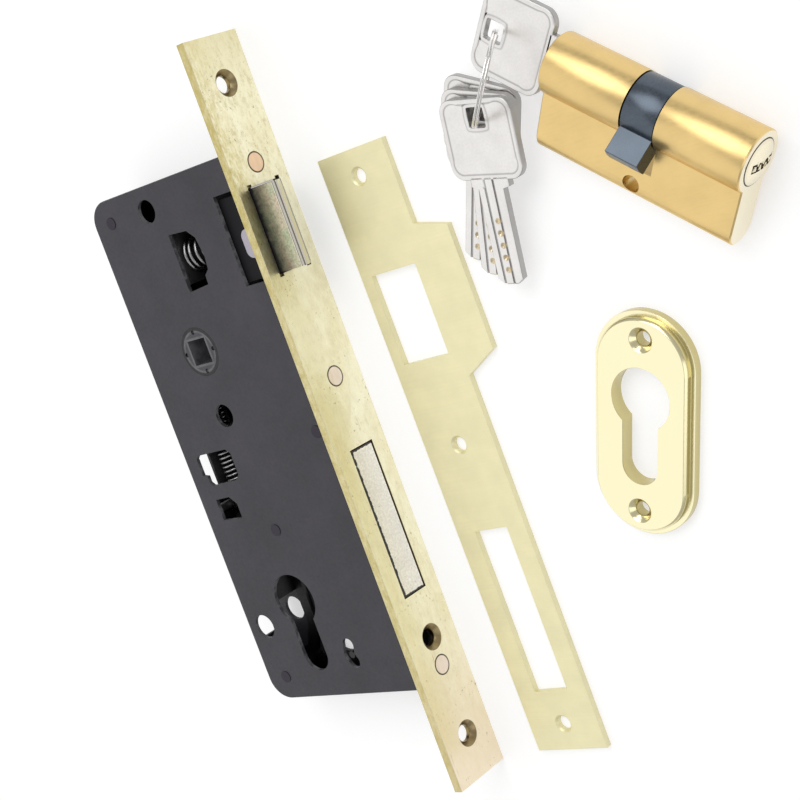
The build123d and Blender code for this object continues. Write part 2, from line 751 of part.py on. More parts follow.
def profile_bar(low, high, outline):
    """An outline in the cylinder's cross-section, run along its axis."""
    return extrude(Plane(origin=(low, 0, 0), x_dir=(0, 0, -1), z_dir=(1, 0, 0)) * outline, high - low)


def pin_bore(x, low, high, radius):
    """An eight-sided bar from the axis side towards the keel, for a pin or its chamber."""
    return Pos(x, 0, 0) * Rot(90, 0, 0) * plate(octagon(radius), low, high)


def make_cylinder_body():
    """Profile bar with plug bores, the cam slot, pin chambers and the fixing thread's bore."""
    body = profile_bar(-half_length, half_length, euro_outline())
    for end in (0, -1):
        body = chamfer(body.edges().group_by(Axis.X)[end], profile_chamfer)
    body -= rod_x(0, 0, plug_r + plug_gap, -half_length - 1, half_length + 1)
    body -= rod_x(0, 0, cam_reach + 0.4, -slot_half, slot_half)
    for x in pin_xs + [-x for x in pin_xs]:
        body -= pin_bore(x, 0, keel_drop + keel_half - 1.5, pin_r + shear_gap)
        body -= pin_bore(x, keel_drop + keel_half - 3.0, keel_drop + keel_half + 1, pin_r + shear_gap)
    body -= Pos(0, -fixing_thread_drop, 0) * Cylinder(fixing_thread_r, 4 * keel_half)
    return cylinder_place * body


def keyway(turn):
    """The key's way, right through a plug, less the ridges that fit the key's grooves."""
    half = key_thick / 2 + keyway_gap
    slot = Box(cylinder_length, key_blade_width + 2 * keyway_gap, 2 * half)
    for face in (-1, 1):
        for offset in key_groove_offsets:
            height = keyway_gap + keyway_ridge_depth
            ridge = Box(cylinder_length, keyway_ridge_width, height)
            slot -= Pos(0, offset, face * (half - height / 2)) * ridge
    return Rot(turn, 0, 0) * slot


def plug_blank():
    """A plug with its domed face, at the +X end of the cylinder."""
    blank = rod_x(0, 0, plug_r, slot_half, half_length) + rod_x(0, 0, plug_neck_r, 0.9, slot_half)
    dome_r = (plug_r ** 2 + dome_height ** 2) / (2 * dome_height)
    dome = Pos(half_length + dome_height - dome_r, 0, 0) * Sphere(dome_r)
    dome &= rod_x(0, 0, plug_r, half_length - 0.01, half_length + dome_height + 1)
    return blank + dome


def make_front_plug():
    """The keyless plug, held by its pins, keyway across the keel."""
    plug = plug_blank() - Pos(half_length + 0.9, 0, 0) * keyway(90)
    for x in pin_xs:
        plug -= pin_bore(x, 1.0, plug_r + 1, pin_r + shear_gap)
    return cylinder_place * plug


def make_rear_plug():
    """The plug that the key turns; its pin bores have turned with the key."""
    plug = Rot(0, 180, 0) * (plug_blank() - Pos(half_length + 0.9, 0, 0) * keyway(0))
    for x in pin_xs:
        plug -= Rot(90, 0, 0) * pin_bore(-x, key_thick / 2, plug_r + 1, pin_r + shear_gap)
    return key_place * plug


def make_cam():
    """The driving ring with its lever, recessed on both sides for the circlips."""
    ring = rod_x(0, 0, cam_ring_r, -cam_width / 2, cam_width / 2)
    lever = Pos(0, cam_reach / 2, 0) * Box(cam_width, cam_reach, cam_lever_width)
    lever &= rod_x(0, 0, cam_reach, -cam_width, cam_width)
    cam = ring + Rot(cam_turn, 0, 0) * lever
    cam -= rod_x(0, 0, plug_neck_r + turn_gap, -cam_width, cam_width)
    for side in (-1, 1):
        low = side * cam_width / 2
        cam -= rod_x(0, 0, circlip_r + 0.3, low - circlip_thick - 0.2, low + circlip_thick + 0.2)
    return key_place * cam


def make_circlips():
    """Two open rings on the plug necks, one in each side of the cam."""
    clips = []
    for side in (-1, 1):
        middle = side * (cam_width / 2 - circlip_thick / 2)
        clip = rod_x(0, 0, circlip_r, middle - circlip_thick / 2, middle + circlip_thick / 2)
        clip -= rod_x(0, 0, plug_neck_r + turn_gap, middle - 2, middle + 2)
        clips.append(clip - Pos(middle, 0, -circlip_r) * Box(4, 2.2, circlip_r * 1.4))
    return clips


def make_clutch():
    """The sliding dog between the two plug necks."""
    return key_place * rod_x(0, 0, plug_neck_r - 0.9, -0.85, 0.85)


def bored_pins(low, high, sides, radius=pin_r, hollow=0.0):
    """A row of round pins in the chambers, from one distance off the axis to another."""
    pins = []
    for side in sides:
        for x in pin_xs:
            pin = pin_bore(side * x, low, high, radius)
            if hollow:
                pin -= pin_bore(side * x, low - 1, high + 1, hollow)
            pins.append(pin)
    return pins


pin_top = keel_drop + keel_half
driver_length = 4.6
cap_thick = 1.6


def make_driver_pins():
    """Driver pins: across the joint in the locked front plug, on the plug's surface at the keyed end."""
    front = bored_pins(plug_r - 1.2, plug_r - 1.2 + driver_length, (1,))
    rear = bored_pins(plug_r + plug_gap + 0.02, plug_r + plug_gap + 0.02 + driver_length, (-1,))
    return Compound(children=[cylinder_place * pin for pin in front + rear])


def make_driver_springs():
    """The pin springs, drawn as thin sleeves."""
    front = bored_pins(plug_r - 1.2 + driver_length, pin_top - 0.6 - cap_thick, (1,), pin_r, pin_r - 0.35)
    low = plug_r + plug_gap + 0.02 + driver_length
    rear = bored_pins(low, pin_top - 0.6 - cap_thick, (-1,), pin_r, pin_r - 0.35)
    return Compound(children=[cylinder_place * pin for pin in front + rear])


def make_chamber_caps():
    """Caps pressed into the pin chambers, under the keel's round bottom."""
    caps = bored_pins(pin_top - 0.6 - cap_thick, pin_top - 0.6, (1, -1), pin_r + shear_gap)
    return Compound(children=[cylinder_place * cap for cap in caps])


def make_front_key_pins():
    """Key pins in the keyless plug."""
    return Compound(children=[cylinder_place * pin for pin in bored_pins(1.3, plug_r - 1.25, (1,))])


def make_rear_key_pins():
    """Key pins on the inserted key, turned with the plug."""
    low = key_thick / 2 + keyway_gap
    pins = bored_pins(low, plug_r - 0.2, (-1,))
    return Compound(children=[key_place * (Rot(90, 0, 0) * pin) for pin in pins])


# ---------------------------------------------------------------- keys and ring
# Own frame of a key: the middle of its ring hole at the origin, the bow's end at +Y, the blade at -Y.
def make_key():
    """A flat key: softly square bow, shouldered neck, grooved blade with a cut tip."""
    bow_mid = key_hole_edge - key_bow_length / 2
    bow = Pos(0, bow_mid) * RectangleRounded(key_bow_width, key_bow_length, 4.0)
    blade_end = key_hole_edge - key_bow_length - key_neck_length - key_blade_length
    blade_half = key_blade_width / 2
    cut, slope = key_tip_cut
    blade = Polygon((-blade_half, bow_mid), (-blade_half, blade_end + slope), (-blade_half + cut, blade_end),
                    (blade_half - cut, blade_end), (blade_half, blade_end + slope), (blade_half, bow_mid),
                    align=None)
    outline = bow + blade - Rectangle(key_hole_side, key_hole_side)
    key = plate(outline, -key_thick / 2, key_thick / 2)
    shoulder = key_hole_edge - key_bow_length - 0.5
    for face in (-1, 1):
        for offset in key_groove_offsets:
            key -= Pos(offset, (blade_end + shoulder) / 2, face * key_thick / 2) * Box(
                key_groove_width, shoulder - blade_end, 2 * key_groove_depth)
    return key


def make_inserted_key():
    """The key in the rear plug, turned so that its bow lies level."""
    return key_place * (Pos(-half_length - key_reach, 0, 0) * Rot(0, 0, 90) * make_key())


ring_height = ring_r * math.cos(math.radians(ring_lean)) + ring_wire_r + 0.15
ring_place = Rot(0, 0, ring_turn) * Rot(0, ring_lean, 0)


def ring_point(height, side):
    """Where the ring passes a height above the surface on one side of its middle, from that middle."""
    rise = (height - ring_height) / math.cos(math.radians(ring_lean))
    return (ring_place * Pos(0, side * math.sqrt(ring_r ** 2 - rise ** 2), rise)).position


ring_centre = Vector(*key_hole_place, surface_z + barrel_r) - ring_point(barrel_r, 1)
key_tip_distance = key_bow_length - key_hole_edge + key_neck_length + key_blade_length
key_tilt = math.degrees(math.asin((key_lift - key_gap) / key_tip_distance))


def make_key_ring():
    """A split ring's two flat turns, leaning on the surface and passing through all the keys."""
    half = ring_wire_thick / 2
    section = Rectangle(ring_wire_thick, 2 * ring_wire_r)
    for side in (-1, 1):
        section -= Pos(side * half, 0) * Rot(0, 0, 45) * Rectangle(ring_groove, ring_groove)
    ring = revolve(Plane.XZ * (Pos(ring_r, 0) * section), Axis.Z)
    return Pos(ring_centre) * ring_place * Rot(0, 90, 0) * ring


def loose_key_hole(order):
    """Where the ring hole of one of the stacked keys lies."""
    height = key_lift + key_thick / 2 + order * (key_thick + key_gap)
    return ring_centre + ring_point(height, -1)


def make_loose_key(order):
    """One of the stacked keys, leaning from the ring down to the surface."""
    place = Pos(loose_key_hole(order)) * Rot(0, 0, key_turn) * Rot(key_tilt, 0, 0) * Rot(0, 0, key_fan[order])
    return place * make_key()


# ---------------------------------------------------------------- output
nodes = {
    "case_pan": make_case_pan(), "cover_plate": make_cover_plate(), "case_posts": make_case_posts(),
    "cover_screws": make_cover_screws(), "forend": make_forend(), "forend_rivets": make_forend_rivets(),
    "latch_bolt": make_latch_bolt(), "latch_pads": make_latch_pads(), "latch_tail": make_latch_tail(),
    "spring_plate": make_spring_plate(), "latch_spring": make_latch_spring(),
    "follower": make_follower(), "follower_spring": make_follower_spring(),
    "spring_bracket": make_spring_bracket(), "latch_lever": make_latch_lever(),
    "deadbolt_head": make_deadbolt_head(), "deadbolt_tail": make_deadbolt_tail(),
    "deadbolt_pins": make_deadbolt_pins(), "detent_post": make_detent_post(),
    "detent_spring": make_detent_spring(),
    "strike_plate": make_strike_plate(), "escutcheon": make_escutcheon(),
    "cylinder_body": make_cylinder_body(), "front_plug": make_front_plug(), "rear_plug": make_rear_plug(),
    "cam": make_cam(), "clutch": make_clutch(),
    "front_circlip": cylinder_place * make_circlips()[1], "rear_circlip": key_place * make_circlips()[0],
    "driver_pins": make_driver_pins(), "driver_springs": make_driver_springs(),
    "chamber_caps": make_chamber_caps(), "front_key_pins": make_front_key_pins(),
    "rear_key_pins": make_rear_key_pins(), "inserted_key": make_inserted_key(), "key_ring": make_key_ring(),
}
for order in range(len(key_fan)):
    nodes[f"loose_key_{order + 1}"] = make_loose_key(order)

os.makedirs("parts", exist_ok=True)
for name, solid in nodes.items():
    export_step(solid, f"parts/{name}.step")
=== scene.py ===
import json
import math

import bmesh
import bpy
import numpy as np
from mathutils import Matrix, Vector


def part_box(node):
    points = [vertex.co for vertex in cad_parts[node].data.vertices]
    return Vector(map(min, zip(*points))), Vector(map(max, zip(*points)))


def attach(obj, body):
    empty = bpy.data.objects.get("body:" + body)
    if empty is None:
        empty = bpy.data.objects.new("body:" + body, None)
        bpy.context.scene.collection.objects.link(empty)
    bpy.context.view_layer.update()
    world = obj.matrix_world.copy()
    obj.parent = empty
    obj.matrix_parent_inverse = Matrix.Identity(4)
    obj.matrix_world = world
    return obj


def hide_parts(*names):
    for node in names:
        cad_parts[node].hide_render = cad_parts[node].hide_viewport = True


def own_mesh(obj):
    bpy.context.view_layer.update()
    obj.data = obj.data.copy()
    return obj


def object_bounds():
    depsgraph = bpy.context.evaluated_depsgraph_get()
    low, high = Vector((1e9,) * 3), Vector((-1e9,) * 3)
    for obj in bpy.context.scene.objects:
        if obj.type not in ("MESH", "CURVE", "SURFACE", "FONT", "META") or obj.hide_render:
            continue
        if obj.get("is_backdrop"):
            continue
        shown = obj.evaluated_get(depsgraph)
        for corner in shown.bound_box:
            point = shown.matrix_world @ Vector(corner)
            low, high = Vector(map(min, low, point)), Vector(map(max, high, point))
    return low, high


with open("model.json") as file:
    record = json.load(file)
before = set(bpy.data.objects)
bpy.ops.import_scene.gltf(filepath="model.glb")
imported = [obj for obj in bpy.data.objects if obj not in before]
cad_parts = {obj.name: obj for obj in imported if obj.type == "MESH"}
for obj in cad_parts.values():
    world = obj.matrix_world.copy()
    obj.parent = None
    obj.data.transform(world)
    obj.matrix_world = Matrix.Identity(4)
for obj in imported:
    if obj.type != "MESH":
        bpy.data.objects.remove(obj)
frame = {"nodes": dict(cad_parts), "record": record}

bl_info = {
    "name": "Mortise lock set",
    "version": (1, 0, 0),
    "blender": (4, 5, 0),
    "location": "View3D > Sidebar > Lock set",
    "description": "Finishes and fine detail for a mortise lock, its strike, escutcheon, cylinder and keys",
    "category": "Object",
}

MM = 0.001


# ---------------------------------------------------------------- sizes and colours
def colour(name, description, value):
    """A colour property with its default."""
    return bpy.props.FloatVectorProperty(name=name, description=description, subtype="COLOR", size=3,
                                         min=0.0, max=1.0, default=value)


def length(name, description, millimetres):
    """A length property with its default, given in millimetres."""
    return bpy.props.FloatProperty(name=name, description=description, subtype="DISTANCE", unit="LENGTH",
                                   precision=5, min=0.0, default=millimetres * MM)


class LOCK_PG_finishes(bpy.types.PropertyGroup):
    """The colours of the finishes"""
    case_black: colour("Case black", "Paint of the lock case", (0.041, 0.038, 0.047))
    # Lighter colour in patches on the window walls of the case's upper sheet; a darker share of it is the
    # follower's painted highlight.
    cut_edge: colour("Cut edge", "Rubbed sheet steel at the edges of the case's windows", (0.22, 0.22, 0.235))
    # Black of the latch inside the case and of the plug's rim line; also painted shade at the latch's foot
    # and in the gap round the deadbolt's face.
    black_and_shade: colour("Hollow black", "Dull black of the parts inside the case", (0.012, 0.011, 0.013))
    forend_brass: colour("Forend brass", "Brushed brass of the forend", (0.95, 0.91, 0.68))
    # Brown stains of the forend, and the painted shade in its hollows.
    forend_stain_and_shade: colour("Forend stain", "Brown stains and hollows of the forend", (0.22, 0.15, 0.05))
    forend_side: colour("Forend side", "Duller sides of the forend", (0.50, 0.41, 0.13))
    forend_foot: colour("Forend foot", "Pinker brass at the forend's lower end", (0.86, 0.72, 0.54))
    forend_tarnish: colour("Forend tarnish", "Darker clouds in the forend's brass", (0.80, 0.72, 0.42))
    rivet_copper: colour("Rivet copper", "Upper rivet, flush in the forend", (0.88, 0.62, 0.40))
    rivet_pale: colour("Rivet pale", "Lower rivets, flush in the forend", (0.90, 0.78, 0.66))
    strike_brass: colour("Strike brass", "Satin brass of the strike plate", (0.94, 0.875, 0.55))
    escutcheon_brass: colour("Escutcheon brass", "Polished brass of the escutcheon", (0.98, 0.91, 0.60))
    # Painted shade on the escutcheon's upright walls.
    escutcheon_wall_shade: colour("Escutcheon wall", "Duller brass of the escutcheon's walls", (0.50, 0.42, 0.16))
    cylinder_brass: colour("Cylinder brass", "Satin brass of the cylinder", (0.82, 0.60, 0.26))
    plug_brass: colour("Plug brass", "Polished face of the plugs", (0.94, 0.86, 0.66))
    cam_blue: colour("Cam blue", "Blued steel of the cam", (0.105, 0.125, 0.152))
    key_silver: colour("Key silver", "Nickel silver of the keys", (0.84, 0.82, 0.80))
    dimple_gold: colour("Dimple gold", "Worn bottoms of the key's dimples", (0.72, 0.58, 0.36))
    steel: colour("Steel", "Zinc-plated small parts", (0.58, 0.58, 0.58))
    latch_zinc: colour("Latch zinc", "Passivated zinc of the latch", (0.55, 0.51, 0.36))
    latch_green: colour("Latch green", "Green film on the latch", (0.36, 0.46, 0.29))
    latch_pink: colour("Latch pink", "Pink film on the latch", (0.66, 0.45, 0.38))
    bolt_silver: colour("Bolt silver", "Plated face of the deadbolt", (0.97, 0.92, 0.84))
    nylon: colour("Nylon", "Pads in the latch", (0.46, 0.43, 0.50))


class LOCK_PG_sizes(bpy.types.PropertyGroup):
    """The sizes of rounded edges, keys, springs and lens"""
    edge_round: length("Edge round", "Radius on the edges of the machined pieces", 0.25)
    fine_edge_round: length("Fine edge round", "Radius on the edges of thin pieces", 0.12)
    keyway_half: length("Keyway half width", "Half the width of the plug's keyway", 1.25)
    ward_reach: bpy.props.FloatProperty(name="Ward reach", min=0.0, max=2.0, default=1.1,
                                        description="How far a ward crosses the keyway, in half widths")
    key_hole_edge: length("Key hole edge", "From a key's far edge to the middle of its ring hole", 5.2)
    key_hole: length("Key hole", "Side of a key's square ring hole", 5.5)
    key_bow_length: length("Key bow length", "Length of a key's bow", 22.4)
    key_blade_width: length("Key blade width", "Width of a key's blade", 8.4)
    key_shoulder: length("Key shoulder", "How far a key's neck stands out beside its blade", 2.2)
    ring_wire: length("Ring wire", "Width of the split ring's wire", 1.1)
    latch_wire: length("Latch spring wire", "Wire diameter of the latch spring", 1.1)
    follower_wire: length("Follower spring wire", "Wire diameter of the follower spring", 0.8)
    follower_hub: length("Follower hub", "Radius of the follower's hub in the case", 8.0)
    follower_square: length("Follower square", "Side of the follower's square hole", 8.1)
    heel_drop: length("Heel drop", "How far the follower's heel presses its spring", 10.0)
    camera_lens: bpy.props.FloatProperty(name="Camera lens", description="Focal length of the camera",
                                         subtype="DISTANCE_CAMERA", default=81.0)


def finishes():
    """The colours in use."""
    return bpy.context.scene.lock_finishes


def sizes():
    """The sizes in use."""
    return bpy.context.scene.lock_sizes


# ---------------------------------------------------------------- material tools
class Finish:
    """A node material in the making: a Principled shader with helpers that add and wire nodes."""

    def __init__(self, name, base, metallic, roughness, **sockets):
        self.material = bpy.data.materials.new(name)
        self.material.use_nodes = True
        self.tree = self.material.node_tree
        self.shader = self.tree.nodes["Principled BSDF"]
        self.relief = None
        sockets = {"Base Color": (*base, 1.0), "Metallic": metallic, "Roughness": roughness, **sockets}
        for socket, value in sockets.items():
            self.shader.inputs[socket.replace("_", " ")].default_value = value

    def node(self, kind, inputs=None, **settings):
        """A new node with its settings and inputs; an input is a value or another node's output."""
        new = self.tree.nodes.new(kind)
        for key, value in settings.items():
            setattr(new, key, value)
        for key, value in (inputs or {}).items():
            if isinstance(value, bpy.types.NodeSocket):
                self.tree.links.new(value, new.inputs[key])
            else:
                new.inputs[key].default_value = value
        return new

    def place(self, output="Object"):
        """Where a point lies in the piece, or with Normal which way it faces."""
        return self.node("ShaderNodeTexCoord").outputs[output]

    def parts(self, output="Object"):
        """The x, y and z of that."""
        return self.node("ShaderNodeSeparateXYZ", {"Vector": self.place(output)}).outputs[:]

    def noise(self, scale, stretch=(1, 1, 1), detail=4.0, rough=0.55, turn=(0, 0, 0)):
        """Noise between 0 and 1, turned and stretched, with a feature size of about 1 / scale metres."""
        where = self.node("ShaderNodeMapping", {"Vector": self.place(), "Rotation": turn, "Scale": stretch})
        return self.node("ShaderNodeTexNoise", {"Vector": where.outputs[0], "Scale": scale,
                                                "Detail": detail, "Roughness": rough}).outputs[0]

    def maths(self, operation, a, b=0.0):
        """One operation on one or two values."""
        return self.node("ShaderNodeMath", {0: a, 1: b}, operation=operation).outputs[0]

    def times(self, a, b):
        """Two values multiplied."""
        return self.maths("MULTIPLY", a, b)

    def minus(self, a, b):
        """One value less another."""
        return self.maths("SUBTRACT", a, b)

    def absolute(self, value):
        """A value without its sign."""
        return self.maths("ABSOLUTE", value)

    def vector(self, operation, a, b=(0, 0, 0)):
        """One operation on one or two vectors, which gives a number or a vector."""
        outputs = self.node("ShaderNodeVectorMath", {0: a, 1: b}, operation=operation).outputs
        return outputs["Value" if operation in ("DOT_PRODUCT", "LENGTH") else "Vector"]

    def ramp(self, value, low, high, to_low=0.0, to_high=1.0):
        """A value remapped and held between two limits."""
        return self.node("ShaderNodeMapRange", {"Value": value, "From Min": low, "From Max": high,
                                                "To Min": to_low, "To Max": to_high}).outputs[0]

    def blend(self, share, a, b):
        """A mix of two colours."""
        a, b = (c if isinstance(c, bpy.types.NodeSocket) else (*c, 1.0) for c in (a, b))
        return self.node("ShaderNodeMix", {0: share, 6: a, 7: b}, data_type="RGBA").outputs[2]

    def over(self, under, colour, share, most):
        """A colour laid over another where the share is 1, and at most as strongly as said."""
        return self.blend(self.times(share, most), under, colour)

    def mottle(self, pattern, base, dark, light):
        """A colour that a pattern takes from darker to lighter."""
        return self.blend(self.ramp(pattern, 0.3, 0.7), shade(base, dark), shade(base, light))

    def to(self, socket, value):
        """Drives a shader socket with a pattern."""
        self.tree.links.new(value, self.shader.inputs[socket])

    def bump(self, height, millimetres, strength=0.5):
        """Adds relief; each call goes on top of the one before."""
        inputs = {"Height": height, "Distance": millimetres * MM, "Strength": strength}
        if self.relief:
            inputs["Normal"] = self.relief
        self.relief = self.node("ShaderNodeBump", inputs).outputs[0]
        self.to("Normal", self.relief)

    def done(self, tone, rough, height, millimetres, strength=0.5):
        """Drives colour, roughness and relief, and hands over the material."""
        self.to("Base Color", tone)
        self.to("Roughness", rough)
        self.bump(height, millimetres, strength)
        return self.material


def shade(base, factor):
    """A colour made darker or lighter."""
    return tuple(min(1.0, c * factor) for c in base)


# ---------------------------------------------------------------- finishes
def painted_steel(name, base, edge, middle, half):
    """Matt black paint with a fine orange-peel surface, lighter in patches on the edges of the punched
    windows in the upper sheet, which is where an upright face of the sheet lies well inside the case's
    outline."""
    inside, sheet = 2 * MM, 1.3 * MM
    f = Finish(name, base, 0.0, 0.5, Specular_IOR_Level=0.4)
    cloudy = f.ramp(f.noise(60, detail=3), 0.3, 0.7)
    paint = f.blend(cloudy, shade(base, 0.84), shade(base, 1.16))
    dust = f.ramp(f.noise(1500, detail=3), 0.66, 0.78)
    paint = f.over(paint, shade(base, 2.2), dust, 0.35)
    where, facing = f.parts(), f.parts("Normal")
    upright = f.maths("LESS_THAN", f.absolute(facing[2]), 0.5)
    for axis in (0, 1):
        off = f.absolute(f.minus(where[axis], middle[axis]))
        upright = f.times(upright, f.maths("LESS_THAN", off, half[axis] - inside))
    high = f.maths("GREATER_THAN", where[2], middle[2] + half[2] - sheet)
    patchy = f.ramp(f.noise(260, detail=3), 0.42, 0.6, 0.1, 0.9)
    rough = f.ramp(f.noise(900, detail=2), 0.25, 0.75, 0.42, 0.58)
    return f.done(f.blend(f.times(f.times(upright, high), patchy), paint, edge), rough,
                  f.noise(2600, detail=2), 0.02, 0.3)


def brushed_brass(name, base, tarnish, stain_and_shade, edge, foot, end):
    """Pale brass gone uneven: soft clouds and brighter patches of wear, fine scratches up the strip with a
    few slanting ones, dark stains in clusters, duller sides, painted shade in its hollows, a pinker lower
    end and an upper left edge rubbed bare. Heights and widths are places on the strip; the painted shade
    keeps clear of its ends."""
    crackle_heights, rubbed_heights, rubbed_widths = (0.045, 0.085), (0.03, 0.06), (2 * MM, 10 * MM)
    foot_heights, top_heights, hole_reach, end_face = (-0.065, -0.115), (0.1, 0.119), 5.5 * MM, 0.3 * MM
    f = Finish(name, base, 1.0, 0.34)
    where, facing = f.parts(), f.parts("Normal")
    cloud = f.noise(80, (1, 0.4, 1), 4, 0.6)
    streak = f.noise(420, (1, 0.5, 1), 9, 0.82, (0.2, 0, 0))
    grain = f.noise(1600, (1, 0.12, 1), 6, 0.7)
    crackle = f.maths("ADD", 0.3, f.ramp(where[1], *crackle_heights, 0.0, 0.55))
    slant = f.noise(700, (1, 0.05, 1), 3, 0.6, (0.45, 0, 0))
    tone = f.blend(f.ramp(cloud, 0.3, 0.58, 0.35, 1.0), tarnish, base)
    tone = f.over(tone, shade(tarnish, 0.8), f.ramp(streak, 0.36, 0.5, 1.0, 0.0), crackle)
    tone = f.over(tone, shade(base, 1.07), f.ramp(streak, 0.52, 0.64), 0.6)
    tone = f.over(tone, shade(tarnish, 0.8), f.ramp(grain, 0.42, 0.3), 0.35)
    rubbed = f.times(f.ramp(where[2], *rubbed_widths), f.ramp(where[1], *rubbed_heights))
    rubbed = f.times(rubbed, f.ramp(f.noise(900, (1, 0.35, 1), 6, 0.75, (-0.3, 0, 0)), 0.56, 0.4))
    tone = f.over(tone, shade(edge, 1.15), rubbed, 0.65)
    tone = f.over(tone, foot, f.ramp(where[1], *foot_heights), 0.75)
    tone = f.blend(f.ramp(where[1], *top_heights, 0.0, 0.6), tone, shade(tarnish, 0.92))
    clusters = f.ramp(f.noise(110, detail=2), 0.5, 0.62)
    spots = f.times(f.ramp(f.noise(1100, (1, 0.7, 1), 4, 0.6), 0.6, 0.68), clusters)
    tone = f.over(tone, stain_and_shade, spots, 0.6)
    tone = f.over(tone, stain_and_shade, f.ramp(slant, 0.7, 0.73), 0.4)
    flat = f.absolute(facing[0])
    side = f.times(f.ramp(flat, 0.35, 0.15), f.ramp(streak, 0.35, 0.6, 0.9, 0.55))
    tone = f.blend(side, tone, edge)
    # Painted shade in the hollows: faces near the middle of the strip that turn away from its front take the
    # colour of the stains.
    inner = f.times(f.maths("LESS_THAN", f.absolute(where[2]), hole_reach),
                    f.maths("LESS_THAN", f.absolute(where[1]), end - end_face))
    tone = f.over(tone, stain_and_shade, f.times(inner, f.ramp(flat, 0.96, 0.85)), 0.85)
    return f.done(tone, f.ramp(streak, 0.35, 0.65, 0.42, 0.26),
                  f.maths("ADD", grain, f.times(streak, 1.5)), 0.035)


def satin_metal(name, base, roughness=0.3, speckle=0.06, grain=1800, clouds=0.05):
    """Even metal with a very fine speckle over faint clouds."""
    f = Finish(name, base, 1.0, roughness)
    fine = f.noise(grain, detail=4)
    tone = f.mottle(fine, base, 1 - speckle, 1 + speckle)
    tone = f.over(tone, shade(base, 0.5), f.ramp(f.noise(90, detail=3), 0.35, 0.65), 2 * clouds)
    return f.done(tone, f.ramp(fine, 0.3, 0.7, roughness * 0.85, roughness * 1.15), fine, 0.01, 0.25)


def drawn_metal(name, base, turn, roughness, depth, end=None, axis=None, metallic=1.0):
    """Metal with fine lines along one direction, as drawing or polishing leaves them; turn takes
    the lines onto the pattern's long axis. Faces square to the axis get the end colour, polished."""
    f = Finish(name, base, metallic, roughness)
    lines = f.noise(1300, (0.015, 1, 1), 5, 0.65, turn)
    soft = f.ramp(f.noise(120, detail=4), 0.35, 0.65)
    tone = f.blend(f.ramp(lines, 0.32, 0.68), shade(base, 1 - depth), shade(base, 1 + depth))
    tone = f.over(tone, shade(base, 0.5), soft, 0.12)
    rough = f.ramp(lines, 0.3, 0.7, roughness * 0.8, roughness * 1.2)
    if end is not None:
        square = f.ramp(f.absolute(f.vector("DOT_PRODUCT", f.place("Normal"), axis)), 0.7, 0.9)
        tone = f.blend(square, tone, end)
        rough = f.times(rough, f.ramp(square, 0.0, 1.0, 1.0, 0.5))
    return f.done(tone, rough, lines, 0.006, 0.3)


def passivated_zinc(name, base, green, pink, bright, black, low, high, tip):
    """The latch: zinc under a thin film that turns yellow, green and pink; black from the case up to its
    foot, between two heights along X, which is its own dark body inside the case and painted shade and
    reflection at its foot; and bright lines along its tip, which are painted highlights."""
    ragged, highlight_step, highlight_reach = 0.7 * MM, 0.75 * MM, 1.6 * MM
    f = Finish(name, base, 1.0, 0.32, Specular_IOR_Level=0.15)
    where = f.parts()
    drift = f.ramp(f.noise(240, (1, 0.5, 1), 5, 0.65), 0.36, 0.64)
    warm = f.ramp(f.noise(300, (1, 0.5, 1), 5, 0.65, (0, 0, 1.0)), 0.45, 0.7, 0.0, 0.75)
    film = f.blend(warm, f.blend(drift, green, base), pink)
    film = f.over(film, shade(base, 1.45), f.ramp(f.noise(2000, detail=4), 0.35, 0.7), 0.4)
    film = f.blend(f.ramp(f.noise(1300, detail=4), 0.5, 0.62, 0.0, 0.4), film, shade(base, 0.4))
    height = f.maths("ADD", where[0], f.ramp(f.noise(500, detail=4), 0.3, 0.7, -ragged, ragged))
    # Black from the case up to the latch's foot: its own dark body inside the case, and painted shade and
    # reflection across the foot of its face.
    film_share = f.ramp(height, low, high)
    # Painted highlights: bright stripes along the latch's tip.
    back = f.minus(tip, where[0])
    line = f.maths("GREATER_THAN", f.maths("SINE", f.times(back, 2 * math.pi / highlight_step)), -0.45)
    lines = f.blend(line, shade(base, 0.25), bright)
    tone = f.over(f.blend(film_share, black, film), lines, f.maths("LESS_THAN", back, highlight_reach), 0.85)
    f.to("Metallic", f.ramp(film_share, 0.0, 0.6))
    return f.done(tone, f.ramp(film_share, 0.0, 1.0, 0.6, 0.3), f.noise(1500, detail=3), 0.01, 0.3)


def rivet_metal(name, upper, pale, split, centres, radius):
    """Rivet faces in two tones, each with a dark ring where it meets the strip."""
    f = Finish(name, upper, 1.0, 0.34)
    where = f.parts()
    tone = f.blend(f.maths("GREATER_THAN", where[1], split), pale, upper)
    fine = f.ramp(f.noise(900, (1, 0.3, 1), 4), 0.35, 0.65)
    tone = f.over(tone, shade(pale, 0.7), fine, 0.25)
    ring = None
    for centre in centres:
        up = f.minus(where[1], centre)
        out = f.maths("SQRT", f.maths("ADD", f.times(up, up), f.times(where[2], where[2])))
        ring = out if ring is None else f.maths("MINIMUM", ring, out)
    tone = f.blend(f.ramp(ring, radius * 0.84, radius * 0.93), tone, shade(pale, 0.06))
    return f.done(tone, f.ramp(fine, 0.0, 1.0, 0.28, 0.42),
                  f.ramp(ring, radius * 0.84, radius, 1.0, 0.0), 0.08, 0.6)


